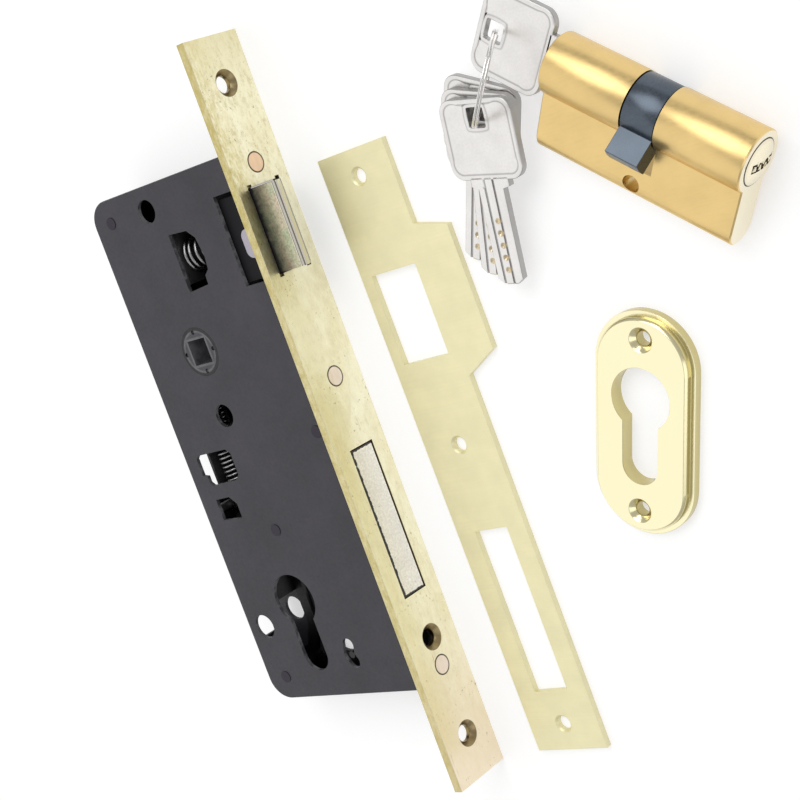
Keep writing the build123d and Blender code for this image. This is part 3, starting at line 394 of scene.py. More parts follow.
def bolt_plating(name, base, black, ends, top, front):
    """Speckled plating with painted shade of the gap along the front edge, at its upper long side and its two
    ends.
    """
    thin, thick = 0.3 * MM, 0.8 * MM
    f = Finish(name, base, 1.0, 0.42)
    where = f.parts()
    speck = f.noise(1300, detail=4)
    tone = f.mottle(speck, base, 0.82, 1.08)
    tone = f.over(tone, shade(base, 0.6), f.ramp(f.noise(140, detail=4), 0.35, 0.65), 0.2)
    tone = f.over(tone, shade(base, 0.3), f.ramp(f.noise(900, detail=3), 0.66, 0.72), 0.5)
    # Painted shade of the gap round the bolt: a ragged black band along the front edge.
    ragged = f.ramp(f.noise(600, detail=2), 0.3, 0.7, thin, thick)
    gap = f.minus(top, where[2])
    for end, way in zip(ends, (1, -1)):
        gap = f.maths("MINIMUM", gap, f.times(f.minus(where[1], end), way))
    gap = f.maths("MAXIMUM", gap, f.minus(front, where[0]))
    tone = f.over(tone, black, f.maths("LESS_THAN", gap, ragged), 0.92)
    return f.done(tone, f.ramp(speck, 0.3, 0.7, 0.36, 0.5), speck, 0.015, 0.35)


def plug_polish(name, base, black, centre, axis, radius):
    """Polished plug brass with a dark line round its rim, at a distance |(P - centre) x axis|."""
    f = Finish(name, base, 1.0, 0.16)
    fine = f.noise(1800, detail=3)
    tone = f.mottle(fine, base, 0.97, 1.02)
    arm = f.vector("SUBTRACT", f.place(), centre)
    out = f.vector("LENGTH", f.vector("CROSS_PRODUCT", arm, axis))
    tone = f.blend(f.ramp(out, radius * 0.8, radius * 0.95, 0.0, 0.3), tone, shade(base, 0.6))
    tone = f.blend(f.ramp(out, radius * 0.945, radius * 0.965), tone, black)
    return f.done(tone, f.ramp(fine, 0.3, 0.7, 0.13, 0.2), fine, 0.006, 0.15)


def lacquered_brass(name, base, wall_shade):
    """Polished and lacquered brass, even and bright, with painted shade on its upright walls and in hollows.
    """
    f = Finish(name, base, 1.0, 0.2)
    fine = f.noise(1800, detail=3)
    tone = f.mottle(fine, base, 0.985, 1.01)
    tone = f.over(tone, shade(base, 0.8), f.ramp(f.noise(45, detail=2), 0.35, 0.65), 0.08)
    # Painted shade: faces darken the more upright they stand.
    tone = f.over(tone, wall_shade, f.ramp(f.absolute(f.parts("Normal")[2]), 0.92, 0.3), 0.75)
    return f.done(tone, f.ramp(fine, 0.3, 0.7, 0.17, 0.24), fine, 0.008, 0.15)


def nylon(name, base):
    """Matt moulded nylon."""
    f = Finish(name, base, 0.0, 0.42)
    fine = f.noise(1200, detail=2)
    f.to("Base Color", f.blend(fine, shade(base, 0.9), shade(base, 1.1)))
    f.bump(fine, 0.01, 0.2)
    return f.material


def follower_black(name, base, marks, middle, radius, square):
    """Matt black die casting with a grainy surface, painted shade in the groove round its hub, a painted
    highlight beside the groove and lighter paint round its square hole, by the distance from the turning
    axis."""
    highlight_from, groove_shade_from, dip_from = radius - 1.9 * MM, radius - 1.2 * MM, radius - 1.4 * MM
    highlight_to, groove_shade_to, dip_to = radius - 1.5 * MM, radius - 0.9 * MM, radius - 0.8 * MM
    lip_from, lip_to = square / 2 + 0.9 * MM, square / 2 + 0.5 * MM
    f = Finish(name, base, 0.0, 0.42, Specular_IOR_Level=0.5)
    fine = f.ramp(f.noise(1400, detail=3), 0.3, 0.7)
    tone = f.blend(fine, shade(base, 0.9), shade(base, 1.25))
    where = f.parts()
    off = [f.absolute(f.minus(where[axis], middle[axis])) for axis in (0, 1)]
    out = f.maths("SQRT", f.maths("ADD", *(f.times(part, part) for part in off)))
    beside = f.ramp(out, highlight_from, highlight_to)
    lip = f.ramp(f.maths("MAXIMUM", *off), lip_from, lip_to)
    patchy = f.ramp(f.noise(300, detail=3), 0.35, 0.6, 0.2, 0.9)
    # Painted highlight beside the groove, and lighter paint round the square hole.
    tone = f.blend(f.times(f.maths("MAXIMUM", beside, lip), patchy), tone, marks)
    # Painted shade in the groove round the hub.
    tone = f.blend(f.ramp(out, groove_shade_from, groove_shade_to), tone, shade(base, 0.05))
    f.done(tone, f.ramp(f.noise(700, detail=2), 0.3, 0.7, 0.34, 0.5), fine, 0.015, 0.3)
    f.bump(f.ramp(out, dip_from, dip_to, 1.0, 0.0), 0.2, 0.8)
    return f.material


def vertices(node):
    """The places of a CAD node's vertices, as an array."""
    mesh = frame["nodes"][node].data
    flat = np.empty(3 * len(mesh.vertices), dtype=np.float32)
    mesh.vertices.foreach_get("co", flat)
    return flat.reshape(-1, 3).astype(float)


def halfway(values):
    """The middle between the lowest and the highest of some values, or of each column of an array."""
    return (values.min(axis=0) + values.max(axis=0)) / 2


def unit(vector):
    """A vector brought to a length of 1."""
    return vector / np.linalg.norm(vector)


def joint(name):
    """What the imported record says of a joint."""
    return next(entry for entry in frame["record"]["behaviour"]["joints"] if entry["name"] == name)


def paint(material, *nodes):
    """Gives CAD nodes one finish."""
    for node in nodes:
        slots = frame["nodes"][node].data.materials
        slots.clear()
        slots.append(material)


def soften(node, radius):
    """Joins a CAD node's faces and rounds its sharp edges."""
    piece = frame["nodes"][node]
    piece.modifiers.new("weld", "WELD").merge_threshold = 0.01 * MM
    bevel = piece.modifiers.new("round", "BEVEL")
    bevel.width = radius
    bevel.segments = 2
    bevel.limit_method = "ANGLE"
    bevel.angle_limit = math.radians(38.0)
    bevel.use_clamp_overlap = True
    bevel.harden_normals = False


def add_object(name, data):
    """A new object in the scene, at the origin."""
    thing = bpy.data.objects.new(name, data)
    bpy.context.scene.collection.objects.link(thing)
    return thing


# ---------------------------------------------------------------- surfaces
def grid_faces(rows, columns, round_rows):
    """The four corners of every face of a grid whose columns wrap round, and its rows too if they do."""
    index = np.arange(rows * columns).reshape(rows, columns)
    if round_rows:
        index = np.vstack([index, index[:1]])
    index = np.hstack([index, index[:, :1]])
    corners = (index[:-1, :-1], index[1:, :-1], index[1:, 1:], index[:-1, 1:])
    return np.stack(corners, axis=-1).reshape(-1, 4)


def surface(name, grid, round_rows=False, attributes=None):
    """A closed mesh from a grid of points, whose columns wrap round: its rows wrap too or its two ends
    are closed by a fan. Faces are turned outwards by the sign of the volume that they enclose."""
    rows, columns = grid.shape[:2]
    points = grid.reshape(-1, 3)
    quads, fans = grid_faces(rows, columns, round_rows), np.empty((0, 3), dtype=int)
    if not round_rows:
        ring, last, middle = np.arange(columns), (rows - 1) * columns, np.full(columns, len(points))
        after = np.roll(ring, -1)
        fans = np.vstack([np.stack([ring, after, middle], axis=1),
                          np.stack([last + after, last + ring, middle + 1], axis=1)])
        points = np.vstack([points, grid[0].mean(axis=0), grid[-1].mean(axis=0)])
    a, b, c = points[np.vstack([quads[:, :3], quads[:, [0, 2, 3]], fans])].transpose(1, 0, 2)
    if np.sum(a * np.cross(b, c)) < 0:
        quads, fans = quads[:, ::-1], fans[:, ::-1]
    mesh = bpy.data.meshes.new(name)
    mesh.from_pydata(points.tolist(), [], quads.tolist() + fans.tolist())
    for key, values in (attributes or {}).items():
        flat = np.zeros(len(points), dtype=np.float32)
        flat[:values.size] = values.reshape(-1)
        mesh.attributes.new(key, "FLOAT", "POINT").data.foreach_set("value", flat)
    return mesh


def place_piece(name, meshes, material, body, *nodes, sharp=60.0):
    """Joins closed meshes into one piece that rides a body and stands for CAD nodes."""
    mesh = meshes[0]
    if len(meshes) > 1:
        joined = bmesh.new()
        for part in meshes:
            joined.from_mesh(part)
        mesh = bpy.data.meshes.new(name)
        joined.to_mesh(mesh)
        joined.free()
    mesh.shade_smooth()
    mesh.set_sharp_from_angle(angle=math.radians(sharp))
    mesh.materials.append(material)
    piece = add_object(name, mesh)
    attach(piece, body)
    if nodes:
        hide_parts(*nodes)
    return piece


def carried(line, first, second, wide, high):
    """A closed section carried along a line: L(s) + wide(t) * first(s) + high(t) * second(s)."""
    return line[:, None] + wide[None, :, None] * first[:, None] + high[None, :, None] * second[:, None]


def coil(name, start, axis, side, length, first_r, last_r, wire_r, turns):
    """A round wire wound along an axis: the middle line is start + axis * s + r * (side cos a + other sin a),
    with the radius r going evenly from one end to the other and the rise s easing off over the closed
    end turns; a circle of the wire's radius is carried square to it."""
    steps_a_turn, section_points, closed = 28, 12, 0.75
    other = np.cross(axis, side)
    share = np.linspace(0, 1, turns * steps_a_turn + 1)
    angle = 2 * math.pi * turns * share
    ease, lift = closed / turns, 2 * wire_r / length
    rise = np.interp(share, (0, ease, 1 - ease, 1), (0, lift, 1 - lift, 1))
    radius = first_r + (last_r - first_r) * rise
    out = np.cos(angle)[:, None] * side + np.sin(angle)[:, None] * other
    line = start + axis * (wire_r + (length - 2 * wire_r) * rise)[:, None] + radius[:, None] * out
    ahead = np.gradient(line, axis=0)
    ahead /= np.linalg.norm(ahead, axis=1)[:, None]
    turn = np.linspace(0, 2 * math.pi, section_points, endpoint=False)
    grid = carried(line, out, np.cross(ahead, out), wire_r * np.cos(turn), wire_r * np.sin(turn))
    return surface(name, grid)


def coil_spring(name, node, along, wire, pitch, narrow, material):
    """A coil in place of a CAD node, as long and wide as its box, with a pitch in wire widths and its last
    turn narrower than its first."""
    low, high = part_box(node)
    start, span = np.array((low + high) / 2), np.array(high) - np.array(low)
    start[along] = low[along]
    axis, side, across = np.roll(np.eye(3), -along, axis=0)
    length, radius = span @ axis, (span @ across - wire) / 2
    wound = coil(name, start, axis, side, length, radius, radius * narrow, wire / 2,
                 round(length / (pitch * wire)))
    piece = place_piece(name, [wound], material, "lock", node)
    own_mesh(piece)


def own_axes(node):
    """The three directions of a flat CAD node, from the sum of area * normal * normal over its faces:
    its flat faces give the thickness, its long edges the width and the rest the length."""
    mesh = frame["nodes"][node].data
    normals = np.empty(3 * len(mesh.polygons), dtype=np.float32)
    areas = np.empty(len(mesh.polygons), dtype=np.float32)
    mesh.polygons.foreach_get("normal", normals)
    mesh.polygons.foreach_get("area", areas)
    normals = normals.reshape(-1, 3).astype(float)
    _, axes = np.linalg.eigh((normals * areas[:, None]).T @ normals)
    return axes.T


def key_bow(width, length, thick, middle, hole):
    """A key's bow as a closed ring. Round the outline P(a) runs an inner rectangle clamped with the angle
    a plus a corner radius; round the hole runs H(a), a soft square in the same direction from the hole's
    middle. Each row goes from P to H over the face, which is bevelled at both edges and sunk inside a
    rim, down the hole's wall and back over the other face."""
    corner, rim, sunk, bevel = 4 * MM, 1.2 * MM, 0.09 * MM, 0.18 * MM
    angle = np.linspace(0, 2 * math.pi, 160, endpoint=False)
    reach, power = 2.0, 10
    start, end = math.asin(1 / reach), math.acos(1 / reach)
    quarter = np.floor(angle / (math.pi / 2))
    part = angle - quarter * math.pi / 2
    facing = (quarter + np.clip((part - start) / (end - start), 0, 1)) * math.pi / 2
    inner = np.stack([np.clip(reach * np.cos(angle), -1, 1) * (width / 2 - corner),
                      np.clip(reach * np.sin(angle), -1, 1) * (length / 2 - corner)], axis=1)
    normal = np.stack([np.cos(facing), np.sin(facing)], axis=1)
    outline = inner + corner * normal + (0, middle)
    way = outline / np.linalg.norm(outline, axis=1)[:, None]
    square = way * (hole / 2 / (np.abs(way) ** power).sum(axis=1) ** (1 / power))[:, None]
    cross = square - outline
    span = np.linalg.norm(cross, axis=1)
    slant = np.clip(-np.sum(cross * normal, axis=1) / span, 0.5, 1)
    from_edge = np.array((0, 0.5 * bevel, bevel, rim, rim + 0.25 * MM, rim + 0.75 * MM))
    from_hole = np.array((rim + 0.4 * MM, rim * 0.9, rim * 0.7, bevel, 0.0))
    share = np.concatenate([from_edge / (span * slant)[:, None], 1 - from_hole / span[:, None]], axis=1)
    share = np.clip(np.hstack([share, share[:, ::-1]]), 0, 1)
    height = thick / 2 - np.array((bevel, 0.35 * bevel, 0, 0, sunk, sunk, sunk, sunk, 0, 0, bevel))
    height = np.concatenate([height, -height[::-1]])
    flat = outline[:, None] + cross[:, None] * share[..., None]
    grid = np.concatenate([flat, np.broadcast_to(height[None, :, None], (*flat.shape[:2], 1))], axis=2)
    # Painted shade: darker on the outer bevel, at the steps of the sunk field and at the hole's edge.
    dark = np.array((1, 0.8, 0.05, 0.05, 1, 0, 0, 0.7, 0.1, 0.1, 1))
    return grid, np.broadcast_to(np.concatenate([dark, dark[::-1]]), grid.shape[:2])


def key_blade(width, thick, root, shoulder, tip, dimples):
    """A key's blade as sections along its length y: each runs over one face and back under the other, and
    next to the bow it is wider by the shoulder. Its half thickness is bevelled at the sides, has
    flat-bottomed grooves, and is sunk at each dimple by its depth * (1.25 - 1.25 d / r), held between
    nothing and the depth, at a distance d from the dimple's middle. Its point tapers and gets thinner."""
    grooves, groove_width, groove_depth, bevel = (-1.9 * MM, 1.1 * MM), 0.8 * MM, 0.35 * MM, 0.16 * MM
    neck, slope, dimple_r = 3.1 * MM, 0.55 * MM, 0.95 * MM
    point, taper, straight, nose, thinner = 1.6 * MM, 2.2 * MM, 1.8 * MM, 0.4 * MM, 0.3 * MM
    half = width / 2
    walls = groove_width / 2 * np.array((-1, -0.8, 0.8, 1))
    across = np.unique(np.concatenate([np.linspace(-half, half, 53), (-half + bevel, half - bevel),
                                       *(offset + walls for offset in grooves)]))
    along = np.concatenate([root - neck + np.array((neck, slope, 0.0)),
                            np.linspace(max(y for y, _ in dimples) + 2 * dimple_r, tip + point, 96),
                            tip + point * (1 - np.linspace(0.1, 1, 10)), [tip]])
    x, y = np.meshgrid(across, along)
    limit = half - taper * (1 - np.clip((y - tip) / point, 0, 1))
    limit = limit + shoulder * np.clip((y - root + neck) / slope, 0, 1)
    off = np.abs(x)
    outer = straight + (off - straight) * (limit - straight) / (half - straight)
    x = np.sign(x) * np.where(off > straight, outer, off)
    depth, gold = np.zeros_like(x), np.zeros_like(x)
    for offset in grooves:
        inwards = (groove_width / 2 - np.abs(x - offset)) / (0.12 * groove_width)
        depth = np.maximum(depth, groove_depth * np.clip(inwards, 0, 1))
    for place, deep in dimples:
        away = np.hypot(x, y - place) / dimple_r
        gold = np.maximum(gold, np.clip((1.05 - away) * 6, 0, 1))
        depth = np.maximum(depth, deep * np.clip(1.25 - 1.25 * away, 0, 1))
    edge = np.clip((np.abs(x) - limit + bevel) / bevel, 0, 1)
    height = thick / 2 - depth - 0.7 * bevel * edge - thinner * (1 - np.clip((y - tip) / nose, 0, 1))
    # Painted shade: darker on the bevelled sides and in the grooves and dimples, but not where the dimples
    # are gold.
    dark = np.maximum(edge, np.clip(depth / groove_depth, 0, 1) * (1 - gold))
    top = np.stack([x, y, height], axis=2)
    pairs = ((top, top * (1, 1, -1)), (dark, dark), (gold, gold))
    return [np.concatenate([over, under[:, ::-1]], axis=1) for over, under in pairs]


def key_piece(name, node, body, material):
    """A whole key set into the place of its CAD node, with dimples in a row from near its tip."""
    first_dimple, dimple_step, depths, into_bow = 4.2, 3.5, (0.34, 0.5, 0.4, 0.5, 0.3), 0.6 * MM
    size = sizes()
    points = vertices(node)
    length_way, width_way, flat_way = own_axes(node)
    across, spread = points @ width_way, points @ length_way
    nearly_half = 0.48
    widest = np.abs(across - halfway(across)) > nearly_half * np.ptp(across)
    if spread[widest].mean() < halfway(spread):
        length_way, spread = -length_way, -spread
    width_way = np.cross(length_way, flat_way)
    across, height = points @ width_way, points @ flat_way
    origin = (length_way * (spread.max() - size.key_hole_edge) + width_way * halfway(across)
              + flat_way * halfway(height))
    middle = size.key_hole_edge - size.key_bow_length / 2
    tip = size.key_hole_edge - np.ptp(spread)
    # The bow's marks are painted shade on its edges and steps.
    bow, marks = key_bow(np.ptp(across), size.key_bow_length, np.ptp(height), middle, size.key_hole)
    dimples = [(tip + (first_dimple + dimple_step * k) * MM, deep * MM) for k, deep in enumerate(depths)]
    root = middle - size.key_bow_length / 2 + into_bow
    blade, dark, gold = key_blade(size.key_blade_width, np.ptp(height), root, size.key_shoulder, tip, dimples)
    turn = np.stack([width_way, length_way, np.cross(width_way, length_way)])
    meshes = [surface(name + "_bow", bow @ turn + origin, round_rows=True, attributes={"dark": marks}),
              surface(name + "_blade", blade @ turn + origin, attributes={"dark": dark, "gold": gold})]
    place_piece(name, meshes, material, body, node, sharp=35.0)


def key_metal(name, base, gold):
    """Nickel silver with faint polishing lines: painted shade along edges and in grooves, yellow in the
    dimples.
    """
    f = Finish(name, base, 1.0, 0.34)
    fine = f.noise(1500, detail=4)
    cloud = f.ramp(f.noise(160, detail=3), 0.35, 0.68)
    dark, marks = (f.node("ShaderNodeAttribute", attribute_name=own).outputs["Fac"]
                  for own in ("dark", "gold"))
    tone = f.over(f.mottle(fine, base, 0.95, 1.04), shade(base, 0.55), cloud, 0.16)
    # Painted shade from the dark attribute, then the gold in the dimples.
    tone = f.over(f.over(tone, shade(base, 0.22), dark, 0.62), gold, marks, 0.85)
    return f.done(tone, f.ramp(fine, 0.3, 0.7, 0.28, 0.4), fine, 0.01, 0.3)


def split_ring(name, node, wire, material, body):
    """Two flat turns of one wire: the middle line is a circle whose side step goes from one turn to the
    other over a short arc, where only one turn lies; a soft-cornered section is carried round it."""
    gap, start, softness, inside, apart = 0.5, 0.6, 0.45, 0.02 * MM, 0.03 * MM
    points = vertices(node)
    centre = halfway(points)
    normal = np.linalg.svd(points - points.mean(axis=0), full_matrices=False)[2][2]
    first = unit(np.cross(normal, (0.0, 0.0, 1.0)))
    second = np.cross(normal, first)
    thick = np.ptp(points @ normal)
    radius = np.linalg.norm(points - centre, axis=1).max() - inside - wire / 2
    angle = np.linspace(gap / 2, 4 * math.pi - gap / 2, 300)
    share = np.clip((angle - 2 * math.pi + gap / 2) / gap, 0, 1)
    step = (share * share * (3 - 2 * share) - 0.5) * thick / 2
    out = np.cos(angle + start)[:, None] * first + np.sin(angle + start)[:, None] * second
    line = centre + radius * out + step[:, None] * normal
    turn = np.linspace(0, 2 * math.pi, 16, endpoint=False)
    wide, high = (np.sign(c) * np.abs(c) ** softness for c in (np.cos(turn), np.sin(turn)))
    grid = carried(line, out, np.broadcast_to(normal, out.shape), wide * wire / 2, high * (thick / 4 - apart))
    place_piece(name, [surface(name, grid)], material, body, node)


# ---------------------------------------------------------------- pieces
def plug_wards(name, material):
    """Small ridges that leave the plug's keyway a zigzag slit: sections that narrow across the slot,
    carried along the plug's axis from just inside its face. Their places are up the slot, side by side."""
    foot, crest, inside, deep = 0.8, 0.25, 0.25 * MM, 6.0 * MM
    sides = ((1, (-2.9, -0.3, 2.3)), (-1, (-1.6, 1.0, 3.4)))
    reach, half = sizes().ward_reach, sizes().keyway_half
    axis, centre = (np.array(joint("key_turn")[key], float) for key in ("axis", "pos_m"))
    points = vertices("front_plug")
    axis *= np.sign((points.mean(axis=0) - centre) @ axis)
    centre = centre + axis * ((points @ axis).max() - centre @ axis - inside)
    up = np.array((0.0, 0.0, 1.0))
    over = np.cross(up, axis)
    corner = np.array(((-foot, 1.0), (foot, 1.0), (crest, 1 - reach), (-crest, 1 - reach)))
    meshes = []
    for side, places in sides:
        for place in places:
            section = (place + corner[:, :1]) * MM * up + side * corner[:, 1:] * half * over
            meshes.append(surface(name, centre + section[None] - np.array((0, deep))[:, None, None] * axis))
    place_piece(name, meshes, material, "cylinder", sharp=40.0)


class LOCK_OT_case(bpy.types.Operator):
    """The black case, its posts and screws"""
    bl_idname = "lock.case"
    bl_label = "Case"

    def execute(self, context):
        look = finishes()
        low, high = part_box("case_pan")
        paint(painted_steel("case_paint", look.case_black, look.cut_edge, (low + high) / 2, (high - low) / 2),
              "case_pan", "cover_plate")
        paint(satin_metal("post_heads", shade(look.case_black, 1.3), 0.4, 0.1), "case_posts")
        paint(satin_metal("case_steel", look.steel, 0.34), "cover_screws")
        paint(satin_metal("case_inner_steel", shade(look.steel, 0.3), 0.5),
              "spring_plate", "spring_bracket", "detent_post")
        return {"FINISHED"}


class LOCK_OT_forend(bpy.types.Operator):
    """The brass face strip and its rivets"""
    bl_idname = "lock.forend"
    bl_label = "Forend"

    def execute(self, context):
        look = finishes()
        paint(brushed_brass("forend_brushed", look.forend_brass, look.forend_tarnish, look.forend_stain_and_shade,
                            look.forend_side, look.forend_foot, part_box("forend")[1].y), "forend")
        soften("forend", sizes().fine_edge_round)
        points, skin = vertices("forend_rivets"), 0.1 * MM
        face = points[points[:, 0] > -skin]
        rim = np.abs(face[:, 2]).max()
        steps, apart = np.sort(face[:, 1]), 4 * rim
        centres = [halfway(group) for group in np.split(steps, np.nonzero(np.diff(steps) > apart)[0] + 1)]
        rivets = rivet_metal("rivet_face", look.rivet_copper, look.rivet_pale, max(centres) - apart,
                             centres, rim)
        paint(rivets, "forend_rivets")
        return {"FINISHED"}


class LOCK_OT_latch(bpy.types.Operator):
    """The latch, its tail, follower, lever and springs"""
    bl_idname = "lock.latch"
    bl_label = "Latch and follower"

    def execute(self, context):
        look, size = finishes(), sizes()
        # The latch is black up to these heights: its own dark body inside the case, and painted shade at its
        # foot.
        black_and_shade_from, black_and_shade_to = 0.5 * MM, 8.0 * MM
        zinc = passivated_zinc("latch_zinc", look.latch_zinc, look.latch_green, look.latch_pink,
                               look.bolt_silver, look.black_and_shade, black_and_shade_from, black_and_shade_to,
                               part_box("latch_bolt")[1].x)
        paint(zinc, "latch_bolt")
        soften("latch_bolt", size.fine_edge_round)
        paint(nylon("latch_nylon", look.nylon), "latch_pads")
        # Painted shade: the latch's tail and lever are darkened to near black, so that the kidney slot shows
        # as black shade.
        paint(satin_metal("lever_shade_steel", shade(look.steel, 0.1), 0.5), "latch_tail", "latch_lever")
        # The follower's painted highlight takes a darker share of the cut-edge colour.
        black = follower_black("follower_paint", look.case_black, shade(look.cut_edge, 0.6),
                               joint("follower_turn")["pos_m"], size.follower_hub, size.follower_square)
        paint(black, "follower")
        spring = satin_metal("spring_wire", shade(look.steel, 0.62), 0.26)
        coil_spring("latch_coil", "latch_spring", 0, size.latch_wire, pitch=2.33, narrow=0.55,
                    material=spring)
        coil_spring("follower_coil", "follower_spring", 1, size.follower_wire, pitch=1.9, narrow=1.0,
                    material=spring)
        return {"FINISHED"}


class LOCK_OT_deadbolt(bpy.types.Operator):
    """The deadbolt, its tail, pins and detent spring"""
    bl_idname = "lock.deadbolt"
    bl_label = "Deadbolt"

    def execute(self, context):
        look = finishes()
        low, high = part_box("deadbolt_head")
        plating = bolt_plating("bolt_plating", look.bolt_silver, look.black_and_shade, (low.y, high.y),
                               high.z, high.x)
        paint(plating, "deadbolt_head")
        paint(satin_metal("bolt_tail_steel", shade(look.steel, 0.4), 0.42), "deadbolt_tail", "deadbolt_pins")
        paint(satin_metal("detent_wire", look.steel, 0.25), "detent_spring")
        return {"FINISHED"}


class LOCK_OT_strike(bpy.types.Operator):
    """The strike plate, with its grain running up it"""
    bl_idname = "lock.strike"
    bl_label = "Strike plate"

    def execute(self, context):
        up_the_plate = (0, 0, 1.585)
        paint(drawn_metal("strike_satin", finishes().strike_brass, up_the_plate, roughness=0.45, depth=0.02,
                          metallic=0.55), "strike_plate")
        soften("strike_plate", sizes().fine_edge_round)
        return {"FINISHED"}


class LOCK_OT_escutcheon(bpy.types.Operator):
    """The oval escutcheon"""
    bl_idname = "lock.escutcheon"
    bl_label = "Escutcheon"

    def execute(self, context):
        look = finishes()
        paint(lacquered_brass("escutcheon_polish", look.escutcheon_brass, look.escutcheon_wall_shade), "escutcheon")
        soften("escutcheon", sizes().fine_edge_round)
        return {"FINISHED"}


class LOCK_OT_cylinder(bpy.types.Operator):
    """The euro cylinder, its plugs, cam and inner pieces"""
    bl_idname = "lock.cylinder"
    bl_label = "Cylinder"

    def execute(self, context):
        look = finishes()
        axis, centre = joint("key_turn")["axis"], joint("key_turn")["pos_m"]
        along_the_barrel = (0, 0, -math.atan2(axis[1], axis[0]))
        paint(drawn_metal("cylinder_satin", look.cylinder_brass, along_the_barrel, roughness=0.34,
                          depth=0.035, end=look.plug_brass, axis=axis), "cylinder_body")
        plug_wards("plug_wards", satin_metal("ward_brass", shade(look.plug_brass, 0.9), 0.3))
        radius = np.linalg.norm(np.cross(vertices("front_plug") - centre, axis), axis=1).max()
        paint(plug_polish("plug_polish", look.plug_brass, look.black_and_shade, centre, axis, radius),
              "front_plug", "rear_plug")
        soften("cylinder_body", sizes().edge_round)
        soften("cam", sizes().fine_edge_round)
        paint(satin_metal("pin_brass", look.cylinder_brass),
              "driver_pins", "chamber_caps", "front_key_pins", "rear_key_pins")
        paint(satin_metal("clip_steel", look.steel),
              "driver_springs", "clutch", "front_circlip", "rear_circlip")
        paint(satin_metal("cam_blueing", look.cam_blue, 0.3, 0.1, 1200, 0.15), "cam")
        return {"FINISHED"}


class LOCK_OT_keys(bpy.types.Operator):
    """The keys and their ring"""
    bl_idname = "lock.keys"
    bl_label = "Keys"

    def execute(self, context):
        look = finishes()
        silver = key_metal("key_nickel", look.key_silver, look.dimple_gold)
        key_piece("cylinder_key", "inserted_key", "turning_key", silver)
        for k in "123":
            key_piece("ring_key_" + k, "loose_key_" + k, "key_" + k, silver)
        split_ring("split_ring", "key_ring", sizes().ring_wire,
                   satin_metal("ring_nickel", look.key_silver, 0.2, 0.03), "ring")
        return {"FINISHED"}


# ---------------------------------------------------------------- stage
# each lamp's name, place, size and power in watts, and the point that they all face
LAMPS = (("key_light", (0.25, 0.75, 0.85), 0.8, 4.6),
         ("side_light", (-0.75, -0.1, 0.75), 1.5, 3.9),
         ("front_light", (0.8, -0.5, 0.5), 0.6, 1.0))
LIT_POINT = (0.02, 0.0, 0.0)
WORLD_LIGHT = 0.5
# where the camera is, and which way its right side, its top and its back face
CAMERA_PLACE = (0.3855, 0.0774, 0.3743)
CAMERA_WAYS = ((0.708, -0.340, -0.619), (0.153, 0.929, -0.336), (0.690, 0.143, 0.710))
FLOOR_HALF, FLOOR_GAP = 6.0, 0.1 * MM


def placed(ways, place):
    """The matrix of an object whose x, y and z face the given ways, at a place."""
    matrix = Matrix(np.array(ways).T.tolist()).to_4x4()
    matrix.translation = place
    return matrix


def aimed(place, target):
    """The matrix of a lamp at a place, with its back turned away from a target."""
    back = unit(np.array(place) - target)
    side = unit(np.cross((0, 1, 0), back))
    return placed((side, np.cross(back, side), back), place)


def floor_material():
    """A pale floor that keeps the object's shadow, and that a camera, gloss or clear ray sees as white:
    it also glows a little, and more so far off, where the lamps don't reach."""
    near, far, pale = 0.4, 1.5, (0.55, 0.55, 0.55)
    f = Finish("floor_white", pale, 0.0, 0.9, Specular_IOR_Level=0.0, Emission_Color=(1, 1, 1, 1))
    path = f.node("ShaderNodeLightPath").outputs
    seen = f.maths("MAXIMUM", path["Is Camera Ray"], path["Is Glossy Ray"])
    seen = f.maths("MAXIMUM", seen, path["Is Transmission Ray"])
    f.to("Emission Strength", f.times(seen, f.ramp(f.vector("LENGTH", f.place()), near, far, 0.55, 0.8)))
    return f.material


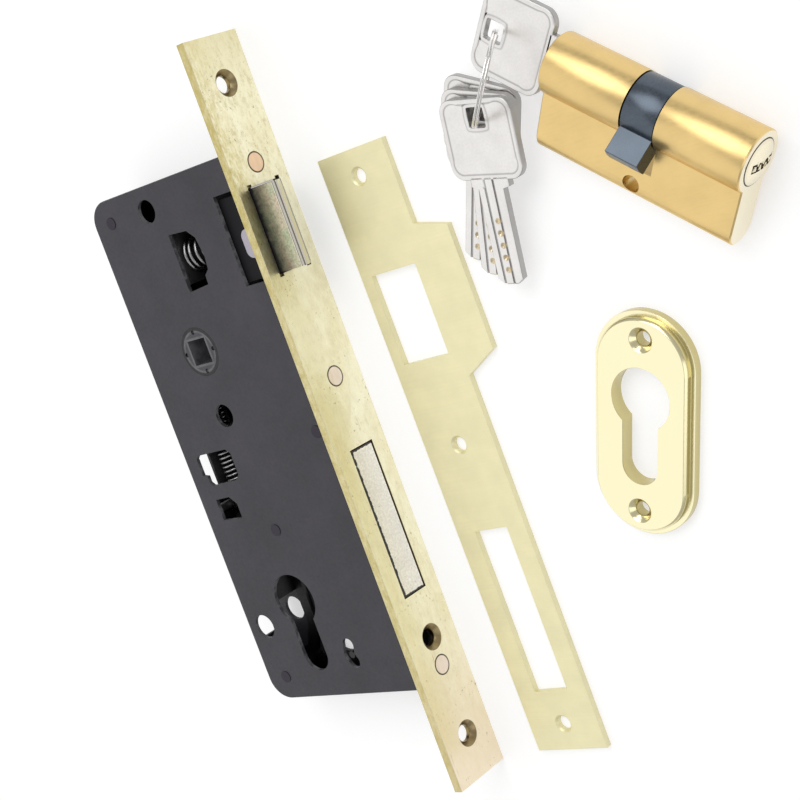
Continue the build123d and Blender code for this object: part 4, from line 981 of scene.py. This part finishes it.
class LOCK_OT_stage(bpy.types.Operator):
    """The floor, lamps, world and camera"""
    bl_idname = "lock.stage"
    bl_label = "Stage"

    def execute(self, context):
        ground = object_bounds()[0].z - FLOOR_GAP
        corners = [(x, y, ground) for x in (-FLOOR_HALF, FLOOR_HALF) for y in (-FLOOR_HALF, FLOOR_HALF)]
        mesh = bpy.data.meshes.new("floor")
        mesh.from_pydata(corners, [], [(0, 2, 3, 1)])
        add_object("floor", mesh)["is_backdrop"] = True
        mesh.materials.append(floor_material())
        world = bpy.data.worlds.new("studio")
        context.scene.world = world
        world.use_nodes = True
        light = world.node_tree.nodes["Background"]
        light.inputs[0].default_value = (1, 1, 1, 1)
        light.inputs[1].default_value = WORLD_LIGHT
        for name, place, size, power in LAMPS:
            lamp = bpy.data.lights.new(name, "AREA")
            lamp.size = size
            lamp.energy = power
            add_object(name, lamp).matrix_world = aimed(place, LIT_POINT)
        camera = bpy.data.cameras.new("camera")
        camera.lens = sizes().camera_lens
        camera.sensor_width = 36.0
        camera.clip_start = 0.01
        seen = add_object("camera", camera)
        ways = np.array(CAMERA_WAYS).T
        square, _ = np.linalg.qr(ways)
        square *= np.sign(np.sum(square * ways, axis=0))
        seen.matrix_world = placed(square.T, CAMERA_PLACE)
        context.scene.camera = seen
        context.scene.view_settings.view_transform = "Standard"
        return {"FINISHED"}


PIECES = (LOCK_OT_case, LOCK_OT_forend, LOCK_OT_latch, LOCK_OT_deadbolt, LOCK_OT_strike, LOCK_OT_escutcheon,
          LOCK_OT_cylinder, LOCK_OT_keys, LOCK_OT_stage)


class LOCK_PT_panel(bpy.types.Panel):
    """Lists the pieces of the lock set with their sizes and colours"""
    bl_idname = "LOCK_PT_panel"
    bl_label = "Lock set"
    bl_space_type = "VIEW_3D"
    bl_region_type = "UI"
    bl_category = "Lock set"

    def draw(self, context):
        for group in (context.scene.lock_sizes, context.scene.lock_finishes):
            box = self.layout.box()
            for key in group.__annotations__:
                box.prop(group, key)
        for piece in PIECES:
            self.layout.operator(piece.bl_idname)


CLASSES = (LOCK_PG_finishes, LOCK_PG_sizes, *PIECES, LOCK_PT_panel)


def register():
    """Adds the classes and the properties that hold the sizes and colours."""
    for entry in CLASSES:
        bpy.utils.register_class(entry)
    bpy.types.Scene.lock_finishes = bpy.props.PointerProperty(type=LOCK_PG_finishes)
    bpy.types.Scene.lock_sizes = bpy.props.PointerProperty(type=LOCK_PG_sizes)


def unregister():
    """Takes them away again."""
    del bpy.types.Scene.lock_sizes
    del bpy.types.Scene.lock_finishes
    for entry in reversed(CLASSES):
        bpy.utils.unregister_class(entry)


def main():
    """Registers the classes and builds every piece."""
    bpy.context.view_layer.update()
    register()
    for piece in PIECES:
        area, name = piece.bl_idname.split(".")
        getattr(getattr(bpy.ops, area), name)()


if __name__ == "__main__":
    main()
